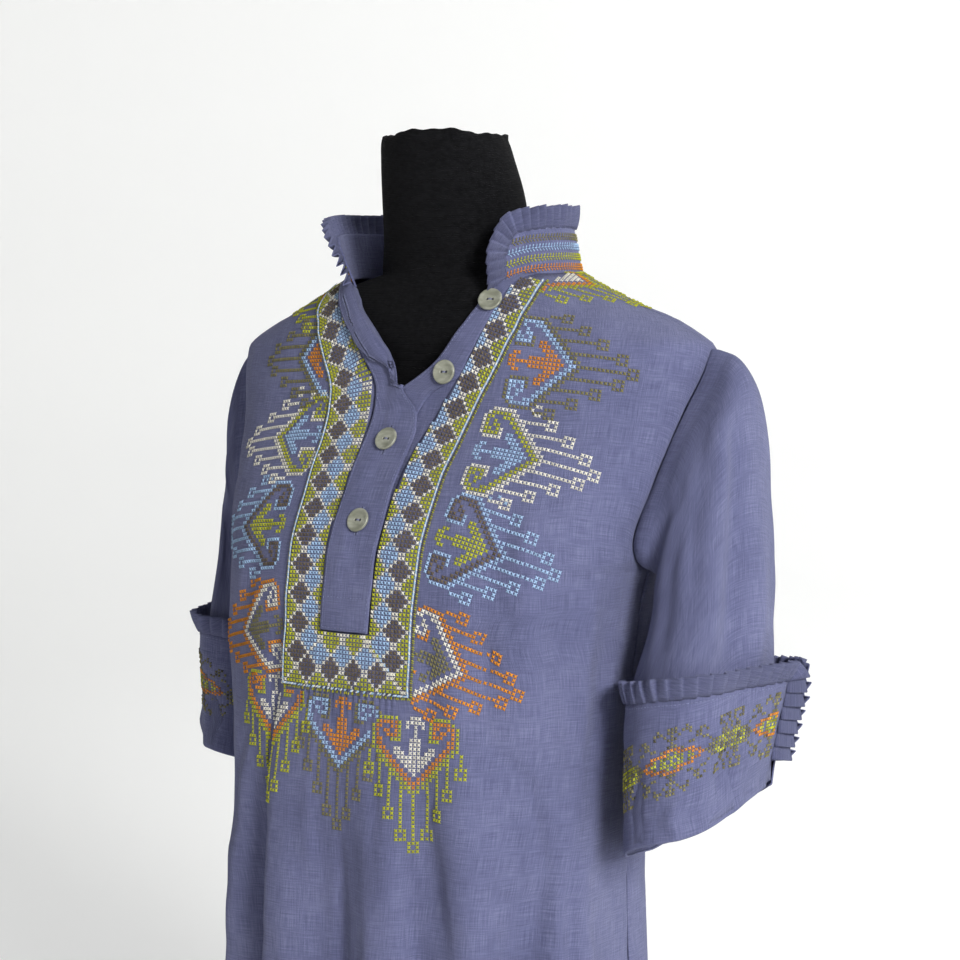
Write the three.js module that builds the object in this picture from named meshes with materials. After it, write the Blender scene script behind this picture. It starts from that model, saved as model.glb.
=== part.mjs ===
// A linen tunic worn by a limbless dress form that stands on its own flat foot.
// Millimetres, +Z up, the wearer's front towards -Y and the wearer's left towards +X.
// The origin is on the surface that the form stands on, straight below the root of its neck.
//
// Each piece of cloth is a wall cut from a surface, and each surface is a function of two measures: the
// body's is how far round and how high, a sleeve's is how far round and how far down, the collar's is how
// far round and how far up. What lies on a panel is made from the same points, moved out.
import * as THREE from "three";

// ---------- driving sizes ----------
const CLOTH = 1.5; // linen with its seam allowances pressed under
const FRILL_CLOTH = 1.2;
const SEAM_GAP = 0.3; // between two pieces that are sewn together
const LAID_GAP = 0.95; // between a panel and a piece that is sewn flat on it
const SEAT_GAP = 0.9; // between the shoulders of the form and the cloth that rests on them

const NECK_SIDE_Z = 760; // where the shoulder seam meets the collar
const SHOULDER_TIP_Z = 704;
const UNDERARM_Z = 548;
const BUST_Z = 445; // below it the skirt falls in folds
const HEM_Z = 50;
const V_POINT_Z = 672; // where the open neck ends

// The body of the tunic, ring by ring: half its width, its depth to the front and to the back from the side
// seams, how square the front and the back are, and where along Y its side seams lie.
const BODY = [
  { z: 50, half: 176, front: 142, back: 132, frontSquare: 2.5, backSquare: 2.2, seamY: -20 },
  { z: 170, half: 169, front: 140, back: 124, frontSquare: 2.5, backSquare: 2.2, seamY: -20 },
  { z: 290, half: 162, front: 138, back: 114, frontSquare: 2.55, backSquare: 2.2, seamY: -20 },
  { z: 380, half: 161, front: 134, back: 106, frontSquare: 2.6, backSquare: 2.2, seamY: -20 },
  { z: 450, half: 163, front: 127, back: 104, frontSquare: 2.7, backSquare: 2.2, seamY: -19 },
  { z: 510, half: 168, front: 125, back: 106, frontSquare: 2.7, backSquare: 2.2, seamY: -16 },
  { z: 560, half: 176, front: 122, back: 110, frontSquare: 2.6, backSquare: 2.2, seamY: -11 },
  { z: 610, half: 190, front: 108, back: 112, frontSquare: 2.4, backSquare: 2.15, seamY: -3 },
  { z: 660, half: 202, front: 92, back: 104, frontSquare: 2.2, backSquare: 2.1, seamY: 8 },
  { z: 690, half: 209, front: 89, back: 92, frontSquare: 2.1, backSquare: 2.05, seamY: 13 },
  { z: 704, half: 208, front: 88, back: 82, frontSquare: 2.05, backSquare: 2.0, seamY: 14 },
  { z: 722, half: 182, front: 84, back: 76, frontSquare: 2.0, backSquare: 2.0, seamY: 13 },
  { z: 740, half: 140, front: 76, back: 70, frontSquare: 2.0, backSquare: 2.0, seamY: 11 },
  { z: 753, half: 111, front: 69, back: 65, frontSquare: 2.0, backSquare: 2.0, seamY: 10 },
  { z: 760, half: 95, front: 66, back: 63, frontSquare: 2.0, backSquare: 2.0, seamY: 10 },
];

// How far round each panel reaches from its middle at the armhole, in degrees.
const ARMHOLE = [
  { z: 548, front: 90, back: 90 },
  { z: 556, front: 84, back: 84 },
  { z: 572, front: 80, back: 80 },
  { z: 600, front: 78.5, back: 77 },
  { z: 640, front: 79, back: 77 },
  { z: 672, front: 82, back: 80 },
  { z: 694, front: 86, back: 85 },
  { z: 704, front: 90, back: 90 },
];

// The edges of the open neck: how far each stands from the middle of the front.
const NECK_EDGE = [
  { z: 672, left: 0, right: 0 },
  { z: 682, left: 15, right: 3 },
  { z: 698, left: 34, right: 10 },
  { z: 716, left: 47, right: 24 },
  { z: 735, left: 58, right: 45 },
  { z: 750, left: 69, right: 62 },
  { z: 757, left: 82, right: 80 },
  { z: 760, left: 95, right: 95 },
];

// Folds of the body, from a head down to the hem. turn is the angle from the front middle at the head and
// foot at the hem, spread and footSpread are its half-widths there, and depth is how far it stands out (+)
// or sinks in (-) at the hem.
const BODY_FOLDS = [
  { head: 462, turn: -26, foot: -25, spread: 5, footSpread: 7, depth: -17 }, // the deep fold beside the bib
  { head: 440, turn: -39, foot: -40, spread: 7, footSpread: 9, depth: 8 },
  { head: 446, turn: -13, foot: -12, spread: 6, footSpread: 8, depth: 8 },
  { head: 440, turn: -2, foot: 1, spread: 5, footSpread: 7, depth: -10 },
  { head: 446, turn: 9, foot: 12, spread: 6, footSpread: 8, depth: 8 },
  { head: 448, turn: 19, foot: 24, spread: 5, footSpread: 7, depth: -12 },
  { head: 470, turn: 33, foot: 37, spread: 8, footSpread: 10, depth: 7 },
  { head: 500, turn: 48, foot: 54, spread: 8, footSpread: 10, depth: -9 },
  { head: 500, turn: -56, foot: -58, spread: 8, footSpread: 10, depth: -9 },
  { head: 480, turn: 70, foot: 72, spread: 8, footSpread: 9, depth: 5 },
  { head: 480, turn: -72, foot: -74, spread: 8, footSpread: 9, depth: 5 },
  { head: 560, turn: 128, foot: 122, spread: 9, footSpread: 12, depth: -11 },
  { head: 540, turn: 150, foot: 146, spread: 10, footSpread: 12, depth: 8 },
  { head: 560, turn: 176, foot: 174, spread: 9, footSpread: 12, depth: -10 },
  { head: 540, turn: -158, foot: -152, spread: 10, footSpread: 12, depth: 8 },
  { head: 560, turn: -132, foot: -126, spread: 9, footSpread: 12, depth: -11 },
];

// The sleeves, ring by ring from the armhole (down 0) to the fold at the elbow (down 1). Each ring runs
// from an outer point to an inner one, and depth is its half-width from front to back. The right one hangs
// flatter.
const SLEEVES = {
  left: [
    { down: 0, outerX: 208, outerZ: 704, innerX: 176, innerZ: 548, y: 4, depth: 30 },
    { down: 0.08, outerX: 227, outerZ: 699, innerX: 183, innerZ: 543, y: 5, depth: 40 },
    { down: 0.2, outerX: 242, outerZ: 678, innerX: 184, innerZ: 537, y: 6, depth: 50 },
    { down: 0.35, outerX: 248, outerZ: 640, innerX: 182, innerZ: 528, y: 5, depth: 56 },
    { down: 0.5, outerX: 251, outerZ: 600, innerX: 181, innerZ: 513, y: 3, depth: 59 },
    { down: 0.65, outerX: 255, outerZ: 554, innerX: 178, innerZ: 490, y: -1, depth: 61 },
    { down: 0.8, outerX: 259, outerZ: 502, innerX: 175, innerZ: 460, y: -9, depth: 64 },
    { down: 1, outerX: 264, outerZ: 404, innerX: 172, innerZ: 350, y: -22, depth: 66 },
  ],
  right: [
    { down: 0, outerX: 208, outerZ: 704, innerX: 176, innerZ: 548, y: 4, depth: 30 },
    { down: 0.08, outerX: 219, outerZ: 699, innerX: 183, innerZ: 543, y: 6, depth: 37 },
    { down: 0.2, outerX: 222, outerZ: 676, innerX: 184, innerZ: 537, y: 9, depth: 44 },
    { down: 0.35, outerX: 221, outerZ: 638, innerX: 182, innerZ: 528, y: 12, depth: 50 },
    { down: 0.5, outerX: 222, outerZ: 596, innerX: 181, innerZ: 515, y: 14, depth: 54 },
    { down: 0.65, outerX: 224, outerZ: 554, innerX: 178, innerZ: 498, y: 14, depth: 58 },
    { down: 0.8, outerX: 229, outerZ: 506, innerX: 175, innerZ: 474, y: 10, depth: 62 },
    { down: 1, outerX: 233, outerZ: 408, innerX: 172, innerZ: 372, y: 5, depth: 64 },
  ],
};

// Folds of a sleeve: turn is the angle from its outer side towards the front.
const SLEEVE_FOLDS = [
  { from: 0.06, to: 0.5, turn: 62, spread: 13, depth: -5 },
  { from: 0.25, to: 0.95, turn: 28, spread: 11, depth: -4 },
  { from: 0.3, to: 0.9, turn: 95, spread: 14, depth: -5 },
  { from: 0.3, to: 0.95, turn: 250, spread: 14, depth: -5 },
  { from: 0.1, to: 0.6, turn: 305, spread: 13, depth: -5 },
];

// The turned-up cuffs lie on the sleeves' lower ends, open at a slit on the outer side.
const CUFF = {
  topInside: 0.79, // where its upper edge lies down the sleeve, on the inner side
  topOutside: 0.86, // and on the outer side
  foldLift: 0.8, // how far it stands off the sleeve at the fold
  topLift: 7, // and at its upper edge
  slitTurn: 336,
  slitHalf: 10,
  slitLift: 8, // how much further it gapes at the slit
  slitSpread: 34,
};
const CUFF_FRILL = { height: 15, pleat: 11.5, rise: 2.2, rootRise: 0.5 };

// The stand collar: its ends, in degrees round from the front middle, its height, how far its upper edge
// leans out at the back and at each end, and how its ends round off: over so many degrees, by this share of
// the height.
const COLLAR = {
  end: 51,
  height: 33,
  backLean: -7,
  leftLean: -2,
  rightLean: 13,
  leanSpread: 45,
  roundedEnd: 12,
  roundedShare: 0.35,
  frontZ: 750, // the height of the neck seam below its ends
  flatTurn: 40, // where the neck seam starts to rise, round from the front middle
};
const COLLAR_FRILL = { height: 18, pleat: 6.2, rise: 1.9, rootRise: 0.4 };

// The embroidered bib, a U round the placket: how far its edges stand from the front middle at each height.
const BIB = [
  { z: 464, inLeft: 22.5, inRight: 22.5, outLeft: 55, outRight: 55 },
  { z: 510, inLeft: 22.5, inRight: 22.5, outLeft: 55, outRight: 55 },
  { z: 570, inLeft: 23.5, inRight: 21.5, outLeft: 56, outRight: 56 },
  { z: 610, inLeft: 26, inRight: 19.5, outLeft: 58, outRight: 57 },
  { z: 640, inLeft: 33, inRight: 18, outLeft: 62, outRight: 58 },
  { z: 670, inLeft: 46, inRight: 18.5, outLeft: 70, outRight: 61 },
  { z: 700, inLeft: 60, inRight: 36, outLeft: 83, outRight: 75 },
  { z: 720, inLeft: 69, inRight: 53, outLeft: 91, outRight: 86 },
  { z: 740, inLeft: 76, inRight: 72, outLeft: 97, outRight: 96 },
  { z: 755, inLeft: 82, inRight: 81, outLeft: 99, outRight: 99 },
];
const BIB_CLOTH = 1.2;
const NECK_CURVE_LIFT = 2.8; // more room on the steep curve beside the neck
const NECK_CURVE_FROM = 722; // which starts at this height
const NECK_CURVE_RISE = 20; // and is whole so far above it

// The placket that lies on top: its two edges, from the wearer's right (-) to the left (+). Above the point
// of the neck it rolls outwards, and roll is how far its inner edge stands up there.
const TOP_PLACKET = [
  { z: 504, right: -21.5, left: 21.5, roll: 0 },
  { z: 600, right: -19, left: 23, roll: 0 },
  { z: 640, right: -16.5, left: 26.5, roll: 0 },
  { z: 658, right: -15.5, left: 22, roll: 1 },
  { z: 672, right: -17, left: 9, roll: 3 },
  { z: 698, right: -33, left: -9, roll: 6 },
  { z: 716, right: -47, left: -23, roll: 6 },
  { z: 735, right: -66, left: -44, roll: 4 },
  { z: 749, right: -78, left: -61, roll: 2 },
];
// The one beneath it, from the open neck's left edge to the bib, and tucked under the other one below.
const UNDER_PLACKET = [
  { z: 652, right: -3, left: 20 },
  { z: 662, right: 0, left: 24 },
  { z: 672, right: 3, left: 31 },
  { z: 684, right: 18, left: 52 },
  { z: 698, right: 34.5, left: 58.5 },
  { z: 716, right: 47.5, left: 66.5 },
  { z: 735, right: 58.5, left: 73.5 },
  { z: 750, right: 69.5, left: 78 },
];
const PLACKET_CLOTH = 1.4;

const BUTTON = { radius: 9, thickness: 2.4, holeRadius: 1.1, holeApart: 4.6, bevel: 0.6, lift: 0.4 };
const BUTTONS = [
  { name: "button_1", placket: "under", x: 67.5, z: 738 },
  { name: "button_2", placket: "under", x: 41, z: 687 },
  { name: "button_3", placket: "top", x: 5, z: 637 },
  { name: "button_4", placket: "top", x: 2, z: 581 },
];

// The form: its rings below the shoulders and up the neck, with the middle of each ring along Y. Between
// them it has the shoulders' own shape, just inside the cloth.
const FORM_TORSO = [
  { z: 0, half: 136, front: 94, back: 84, y: -12 },
  { z: 60, half: 144, front: 100, back: 84, y: -12 },
  { z: 150, half: 148, front: 103, back: 83, y: -12 },
  { z: 260, half: 133, front: 97, back: 76, y: -12 },
  { z: 340, half: 121, front: 91, back: 70, y: -12 },
  { z: 430, half: 132, front: 98, back: 76, y: -12 },
  { z: 520, half: 146, front: 104, back: 84, y: -10 },
  { z: 600, half: 154, front: 92, back: 94, y: -2 },
  { z: 660, half: 172, front: 80, back: 88, y: 8 },
  { z: 690, half: 184, front: 76, back: 80, y: 12 },
  { z: 716, half: 176, front: 72, back: 70, y: 12 },
];
const FORM_NECK = [
  { z: 766, half: 62, front: 52, back: 54, y: 0 },
  { z: 785, half: 57, front: 52, back: 54, y: -4 },
  { z: 815, half: 54, front: 54, back: 54, y: -8 },
  { z: 845, half: 50, front: 50, back: 50, y: -16 },
  { z: 859, half: 47, front: 47, back: 47, y: -20 },
  { z: 864, half: 42, front: 42, back: 42, y: -21 },
];
const FORM_SHOULDER_FROM = 684; // the form takes on the shoulders' shape between these heights
const FORM_SHOULDER_FULL = 718;
const FORM_SHOULDER_END = 748;

// ---------- small helpers ----------
const rad = (degrees) => (degrees * Math.PI) / 180;
const lerp = (a, b, t) => a + (b - a) * t;
const clamp01 = (t) => Math.min(1, Math.max(0, t));
const ease = (t) => clamp01(t) ** 2 * (3 - 2 * clamp01(t));
const signedPower = (v, p) => Math.sign(v) * Math.abs(v) ** p;
const bump = (distance, spread) => Math.exp(-((distance / spread) ** 2));
const turnApart = (a, b) => ((((a - b) % 360) + 540) % 360) - 180;
const vec = (x, y, z) => new THREE.Vector3(x, y, z);
const steps = (from, to, count) =>
  Array.from({ length: count + 1 }, (_, i) => lerp(from, to, i / count));

// A value from a table's column at a given key, on a smooth curve that never overshoots its rows.
function fromTable(rows, at, column, key = "z") {
  const last = rows.length - 1;
  if (at <= rows[0][key]) return rows[0][column];
  if (at >= rows[last][key]) return rows[last][column];
  const slope = (i) => (rows[i + 1][column] - rows[i][column]) / (rows[i + 1][key] - rows[i][key]);
  const tangent = (i) => {
    if (i === 0) return slope(0);
    if (i === last) return slope(last - 1);
    const [before, after] = [slope(i - 1), slope(i)];
    return before * after <= 0 ? 0 : (2 * before * after) / (before + after);
  };
  const i = rows.findIndex((row, n) => n < last && at <= rows[n + 1][key]);
  const width = rows[i + 1][key] - rows[i][key];
  const t = (at - rows[i][key]) / width;
  return (
    rows[i][column] * (1 + 2 * t) * (1 - t) ** 2 +
    tangent(i) * width * t * (1 - t) ** 2 +
    rows[i + 1][column] * t * t * (3 - 2 * t) +
    tangent(i + 1) * width * t * t * (t - 1)
  );
}

// A surface's two directions and its unit normal at (u, v), by small steps of its two measures.
function frameOf(at, u, v, stepU, stepV) {
  const alongU = at(u + stepU, v).sub(at(u - stepU, v)).normalize();
  const alongV = at(u, v + stepV).sub(at(u, v - stepV));
  const normal = alongU.clone().cross(alongV).normalize();
  return { alongU, acrossU: normal.clone().cross(alongU), normal };
}

// ---------- walls ----------
// Faces point outwards: a mesh whose volume comes out negative is turned round.
function closedGeometry(points, faces) {
  let volume = 0;
  for (let i = 0; i < faces.length; i += 3) {
    const [a, b, c] = [0, 1, 2].map((k) => points[faces[i + k]]);
    volume += a.dot(b.clone().cross(c));
  }
  for (let i = 0; volume < 0 && i < faces.length; i += 3) {
    [faces[i + 1], faces[i + 2]] = [faces[i + 2], faces[i + 1]];
  }
  const geometry = new THREE.BufferGeometry();
  const places = points.flatMap((p) => [p.x, p.y, p.z]);
  geometry.setAttribute("position", new THREE.Float32BufferAttribute(places, 3));
  geometry.setIndex(faces);
  geometry.computeVertexNormals();
  return geometry;
}

// A closed mesh between rows of outer points and rows of inner points; a ring joins each row's end to its
// start.
function wallBetween(outer, inner, ring = false) {
  const rows = outer.length;
  const columns = outer[0].length;
  const id = (layer, r, c) => (layer * rows + r) * columns + (c % columns);
  const faces = [];
  const quad = (a, b, c, d) => faces.push(a, b, c, a, c, d);
  const across = ring ? columns : columns - 1;
  for (let c = 0; c < across; c++) {
    for (let r = 0; r < rows - 1; r++) {
      quad(id(0, r, c), id(0, r, c + 1), id(0, r + 1, c + 1), id(0, r + 1, c));
      quad(id(1, r, c), id(1, r + 1, c), id(1, r + 1, c + 1), id(1, r, c + 1));
    }
    const top = rows - 1;
    quad(id(0, 0, c), id(1, 0, c), id(1, 0, c + 1), id(0, 0, c + 1));
    quad(id(0, top, c), id(0, top, c + 1), id(1, top, c + 1), id(1, top, c));
  }
  const end = columns - 1;
  for (let r = 0; !ring && r < rows - 1; r++) {
    quad(id(0, r, 0), id(0, r + 1, 0), id(1, r + 1, 0), id(1, r, 0));
    quad(id(0, r, end), id(1, r, end), id(1, r + 1, end), id(0, r + 1, end));
  }
  return closedGeometry([...outer.flat(), ...inner.flat()], faces);
}

// Rows of points of at(u, v) for lists of v (rows) and u (columns), each moved out along the surface's
// normal. A measure that runs from 0 to 1 is stepped by SHARE_STEP for it, and one in degrees by TURN_STEP.
const SHARE_STEP = 0.004;
const TURN_STEP = 0.5;
function patch(at, us, vs, out, stepU, stepV = SHARE_STEP) {
  const moved = (u, v) => at(u, v).addScaledVector(frameOf(at, u, v, stepU, stepV).normal, out);
  return vs.map((v) => us.map((u) => moved(u, v)));
}

const MATERIALS = {
  linen: new THREE.MeshStandardMaterial({ color: 0x5f6492, roughness: 0.9, metalness: 0 }),
  band: new THREE.MeshStandardMaterial({ color: 0x9a9a62, roughness: 0.85, metalness: 0 }),
  shell: new THREE.MeshStandardMaterial({ color: 0x8f938c, roughness: 0.4, metalness: 0 }),
  jersey: new THREE.MeshStandardMaterial({ color: 0x141416, roughness: 0.95, metalness: 0 }),
};
const tunic = new THREE.Group();
function add(name, geometry, material) {
  const mesh = new THREE.Mesh(geometry, material);
  mesh.name = name;
  tunic.add(mesh);
  return mesh;
}

// ---------- the body's surface ----------
const FOLD_GROWN = 0.385; // a fold has most of its depth this far down its length
const FOLD_DEPTH_THERE = 0.75;
function foldPush(turn, z) {
  return BODY_FOLDS.reduce((sum, fold) => {
    const fall = clamp01((fold.head - z) / (fold.head - HEM_Z));
    const growth = ease(fall / FOLD_GROWN) * lerp(FOLD_DEPTH_THERE, 1, fall);
    const away = turnApart(turn, lerp(fold.turn, fold.foot, fall));
    return sum + fold.depth * growth * bump(away, lerp(fold.spread, fold.footSpread, fall));
  }, 0);
}

// turn: 0 is the front middle, 90 the wearer's left side and 180 the back.
function bodyPoint(turn, z) {
  const inFront = Math.cos(rad(turn)) >= 0;
  const half = fromTable(BODY, z, "half");
  const depth = fromTable(BODY, z, inFront ? "front" : "back");
  const power = 2 / fromTable(BODY, z, inFront ? "frontSquare" : "backSquare");
  const x = half * signedPower(Math.sin(rad(turn)), power);
  const y = -depth * signedPower(Math.cos(rad(turn)), power);
  const outward = vec(x / half ** 2, y / depth ** 2, 0).normalize();
  return vec(x, fromTable(BODY, z, "seamY") + y, z).addScaledVector(outward, foldPush(turn, z));
}
const reach = (z, side) => (z <= UNDERARM_Z || z >= SHOULDER_TIP_Z ? 90 : fromTable(ARMHOLE, z, side));

// The angle round the front at which the body stands a given distance from the middle.
function turnAtWidth(x, z) {
  const power = 2 / fromTable(BODY, z, "frontSquare");
  const share = Math.min(1, Math.abs(x) / fromTable(BODY, z, "half"));
  return Math.sign(x) * THREE.MathUtils.radToDeg(Math.asin(share ** (1 / power)));
}
// The front by its distance from the middle and its height, for what lies on it.
const frontByWidth = (x, z) => bodyPoint(turnAtWidth(x, z), z);
// The body's normal at a point of its front.
const bodyNormal = ({ x, z }) => frameOf(frontByWidth, x, z, 1, 1).normal;

// ---------- front and back ----------
// The front's upper edge, where each column of cloth meets the edge of the open neck. The height is found
// by halving the stretch that holds it.
const HALVINGS = 40;
function frontTop(share) {
  if (Math.abs(share) < 1e-6) return V_POINT_Z;
  let [low, high] = [V_POINT_Z, NECK_SIDE_Z];
  for (let i = 0; i < HALVINGS; i++) {
    const z = (low + high) / 2;
    const edge = fromTable(NECK_EDGE, z, share > 0 ? "left" : "right");
    if (Math.abs(bodyPoint(share * 90, z).x) > edge) low = z;
    else high = z;
  }
  return low;
}
const shareOf = (z) => (z - HEM_Z) / (NECK_SIDE_Z - HEM_Z);
// The rows of a panel: so many in the skirt, the bust, the armhole and the shoulder.
const panelRows = (skirt, bust, armhole, shoulder) => [
  ...steps(0, shareOf(BUST_Z), skirt),
  ...steps(shareOf(BUST_Z), shareOf(UNDERARM_Z), bust).slice(1),
  ...steps(shareOf(UNDERARM_Z), shareOf(SHOULDER_TIP_Z), armhole).slice(1),
  ...steps(shareOf(SHOULDER_TIP_Z), 1, shoulder).slice(1),
];
function panel(side, top, middle) {
  return (share, height) => {
    const z = lerp(HEM_Z, top(share), height);
    const seam = THREE.MathUtils.radToDeg(SEAM_GAP / 2 / fromTable(BODY, z, "half"));
    return bodyPoint(middle + share * (reach(z, side) - seam), z);
  };
}
const panelWall = (at, columns, rows) =>
  wallBetween(patch(at, columns, rows, 0, SHARE_STEP), patch(at, columns, rows, -CLOTH, SHARE_STEP));

// Columns are closer together at the middle of the front, where its folds and the open neck are.
const MIDDLE_SPACING = 0.66; // against an even one
const frontColumns = steps(-1, 1, 32).map((share) => share * lerp(MIDDLE_SPACING, 1, share * share));
add("front", panelWall(panel("front", frontTop, 0), frontColumns, panelRows(9, 5, 9, 9)), MATERIALS.linen);
const backPanel = panel("back", () => NECK_SIDE_Z, 180);
add("back", panelWall(backPanel, steps(-1, 1, 20), panelRows(8, 2, 5, 4)), MATERIALS.linen);

// ---------- sleeves ----------
function armholePoint(turn) {
  const z = lerp(UNDERARM_Z, SHOULDER_TIP_Z, 0.5 + 0.5 * Math.cos(rad(turn)));
  const front = Math.sin(rad(turn)) >= 0;
  return bodyPoint(front ? reach(z, "front") : 180 - reach(z, "back"), z);
}

// turn: 0 is the sleeve's outer side, 90 its front, 180 its inner side and 270 its back.
function sleeveRing(rows, turn, down) {
  const row = (column) => fromTable(rows, down, column, "down");
  const along = Math.cos(rad(turn));
  return vec(
    lerp(row("innerX"), row("outerX"), 0.5 + 0.5 * along),
    row("y") - row("depth") * Math.sin(rad(turn)),
    lerp(row("innerZ"), row("outerZ"), 0.5 + 0.5 * along),
  );
}
function sleeveFold(turn, down) {
  return SLEEVE_FOLDS.reduce((sum, fold) => {
    const share = clamp01((down - fold.from) / (fold.to - fold.from));
    return sum + fold.depth * Math.sin(Math.PI * share) * bump(turnApart(turn, fold.turn), fold.spread);
  }, 0);
}
const ARMHOLE_FADE = 0.3; // the sleeve has left the armhole's own curve by here
function sleeveSurface(side) {
  const rows = SLEEVES[side];
  return (turn, down) => {
    const ring = sleeveRing(rows, turn, down);
    const blend = 1 - ease(down / ARMHOLE_FADE);
    ring.add(armholePoint(turn).sub(sleeveRing(rows, turn, 0)).multiplyScalar(blend));
    const outward = vec(Math.cos(rad(turn)), -Math.sin(rad(turn)), 0);
    ring.addScaledVector(outward, sleeveFold(turn, down));
    ring.x += 3 * SEAM_GAP;
    if (side === "right") ring.x *= -1;
    return ring;
  };
}
const SLEEVE_ROWS = [0, 0.05, 0.12, 0.2, 0.3, 0.42, 0.56, 0.7, 0.84, 0.994];
const sleeveColumns = steps(0, 360, 22).slice(0, -1);
const outFrom = (side) => (side === "right" ? -1 : 1); // a mirrored surface has its normal the other way
function sleeve(side) {
  const at = sleeveSurface(side);
  const out = outFrom(side);
  return wallBetween(
    patch(at, sleeveColumns, SLEEVE_ROWS, 0, TURN_STEP),
    patch(at, sleeveColumns, SLEEVE_ROWS, -CLOTH * out, TURN_STEP),
    true,
  );
}

// ---------- cuffs ----------
// height: 0 at the fold and 1 at the seam of the frill.
function cuffSurface(side) {
  const at = sleeveSurface(side);
  return (turn, height) => {
    const top = lerp(CUFF.topInside, CUFF.topOutside, 0.5 + 0.5 * Math.cos(rad(turn)));
    const down = lerp(1, top, height);
    const gape = CUFF.slitLift * bump(turnApart(turn, CUFF.slitTurn), CUFF.slitSpread) * clamp01(height);
    const lift = lerp(CUFF.foldLift, CUFF.topLift, ease(height)) + gape;
    const { normal } = frameOf(at, turn, down, TURN_STEP, SHARE_STEP);
    return at(turn, down).addScaledVector(normal, lift * outFrom(side));
  };
}
const cuffOut = (side) => -outFrom(side); // a cuff's height runs up, against the sleeve's own way
const cuffStart = CUFF.slitTurn + CUFF.slitHalf - 360;
const cuffEnd = CUFF.slitTurn - CUFF.slitHalf;
function cuff(side) {
  const at = cuffSurface(side);
  const columns = steps(cuffStart, cuffEnd, 26);
  const rows = steps(0, 1, 3);
  return wallBetween(
    patch(at, columns, rows, CLOTH * cuffOut(side), TURN_STEP),
    patch(at, columns, rows, 0, TURN_STEP),
  );
}

for (const side of ["left", "right"]) {
  add(`sleeve_${side}`, sleeve(side), MATERIALS.linen);
  add(`cuff_${side}`, cuff(side), MATERIALS.linen);
}

// ---------- frills ----------
// A strip of knife pleats along an edge. Each corner of the edge's line is a place on a surface and the way
// that the frill points there, in degrees from up towards the surface's own turn; flare tips it off the
// surface.
const FRILL_GAP = 0.95; // a frill's seam is thick, so it stands this far off its edge
const FRILL_STATIONS = 24; // between two corners of the line
const PLEAT_CREST = 0.8; // how far along a pleat its crest is
// A place on the line: the frill's root there, the way it points and the way its pleats rise.
function frillStation(at, outSign, { u, v, way, flare }) {
  const { alongU, acrossU, normal } = frameOf(at, u, v, TURN_STEP, SHARE_STEP);
  normal.multiplyScalar(outSign);
  const up = acrossU.multiplyScalar(Math.cos(rad(way))).addScaledVector(alongU, Math.sin(rad(way)));
  up.multiplyScalar(Math.cos(rad(flare))).addScaledVector(normal, Math.sin(rad(flare)));
  normal.addScaledVector(up, -normal.dot(up)).normalize();
  return { root: at(u, v), up, normal };
}
function frill(at, line, sizes, outSign) {
  const stations = [];
  for (let i = 0; i < line.length - 1; i++) {
    const between = (key, t) => lerp(line[i][key], line[i + 1][key], t);
    for (const t of steps(0, 1, FRILL_STATIONS).slice(i ? 1 : 0)) {
      const [u, v, way, flare] = ["u", "v", "way", "flare"].map((key) => between(key, t));
      stations.push(frillStation(at, outSign, { u, v, way, flare }));
    }
  }
  const middle = (s) => s.root.clone().addScaledVector(s.up, sizes.height / 2);
  const lengths = [0];
  for (let i = 1; i < stations.length; i++) {
    lengths.push(lengths[i - 1] + middle(stations[i]).distanceTo(middle(stations[i - 1])));
  }
  const total = lengths.at(-1);
  const pleats = Math.round(total / sizes.pleat);
  const stationAt = (length) => {
    const i = Math.min(stations.length - 2, Math.max(0, lengths.findIndex((l) => l > length) - 1));
    const t = clamp01((length - lengths[i]) / (lengths[i + 1] - lengths[i]));
    const between = (key) => stations[i][key].clone().lerp(stations[i + 1][key], t);
    return { root: between("root"), up: between("up").normalize(), normal: between("normal").normalize() };
  };
  // Each pleat rises slowly and drops back under the next one.
  const columns = [];
  for (let k = 0; k < pleats; k++) {
    columns.push({ length: (k / pleats) * total, high: 0 });
    columns.push({ length: ((k + PLEAT_CREST) / pleats) * total, high: 1 });
  }
  columns.push({ length: total - 1e-3, high: 0 });
  const row = (height, rise, inward) =>
    columns.map(({ length, high }) => {
      const { root, up, normal } = stationAt(length);
      return root.addScaledVector(up, height).addScaledVector(normal, rise * high - inward);
    });
  const layer = (inward) => [
    row(FRILL_GAP, sizes.rootRise, inward),
    row(sizes.height, sizes.rise, inward),
  ];
  return wallBetween(layer(0), layer(FRILL_CLOTH));
}

function cuffFrill(side) {
  const line = [
    { u: cuffEnd, v: 0.24, way: 90, flare: 34 },
    { u: cuffEnd + 0.5, v: 1, way: 82, flare: 34 },
    { u: cuffEnd - 1, v: 1.01, way: 10, flare: 20 },
    { u: 180, v: 1, way: 0, flare: 4 },
    { u: cuffStart + 1, v: 1.01, way: -10, flare: 20 },
    { u: cuffStart - 0.5, v: 1, way: -82, flare: 34 },
    { u: cuffStart, v: 0.24, way: -90, flare: 34 },
  ];
  return frill(cuffSurface(side), line, CUFF_FRILL, cuffOut(side));
}
for (const side of ["left", "right"]) add(`cuff_frill_${side}`, cuffFrill(side), MATERIALS.linen);

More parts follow.
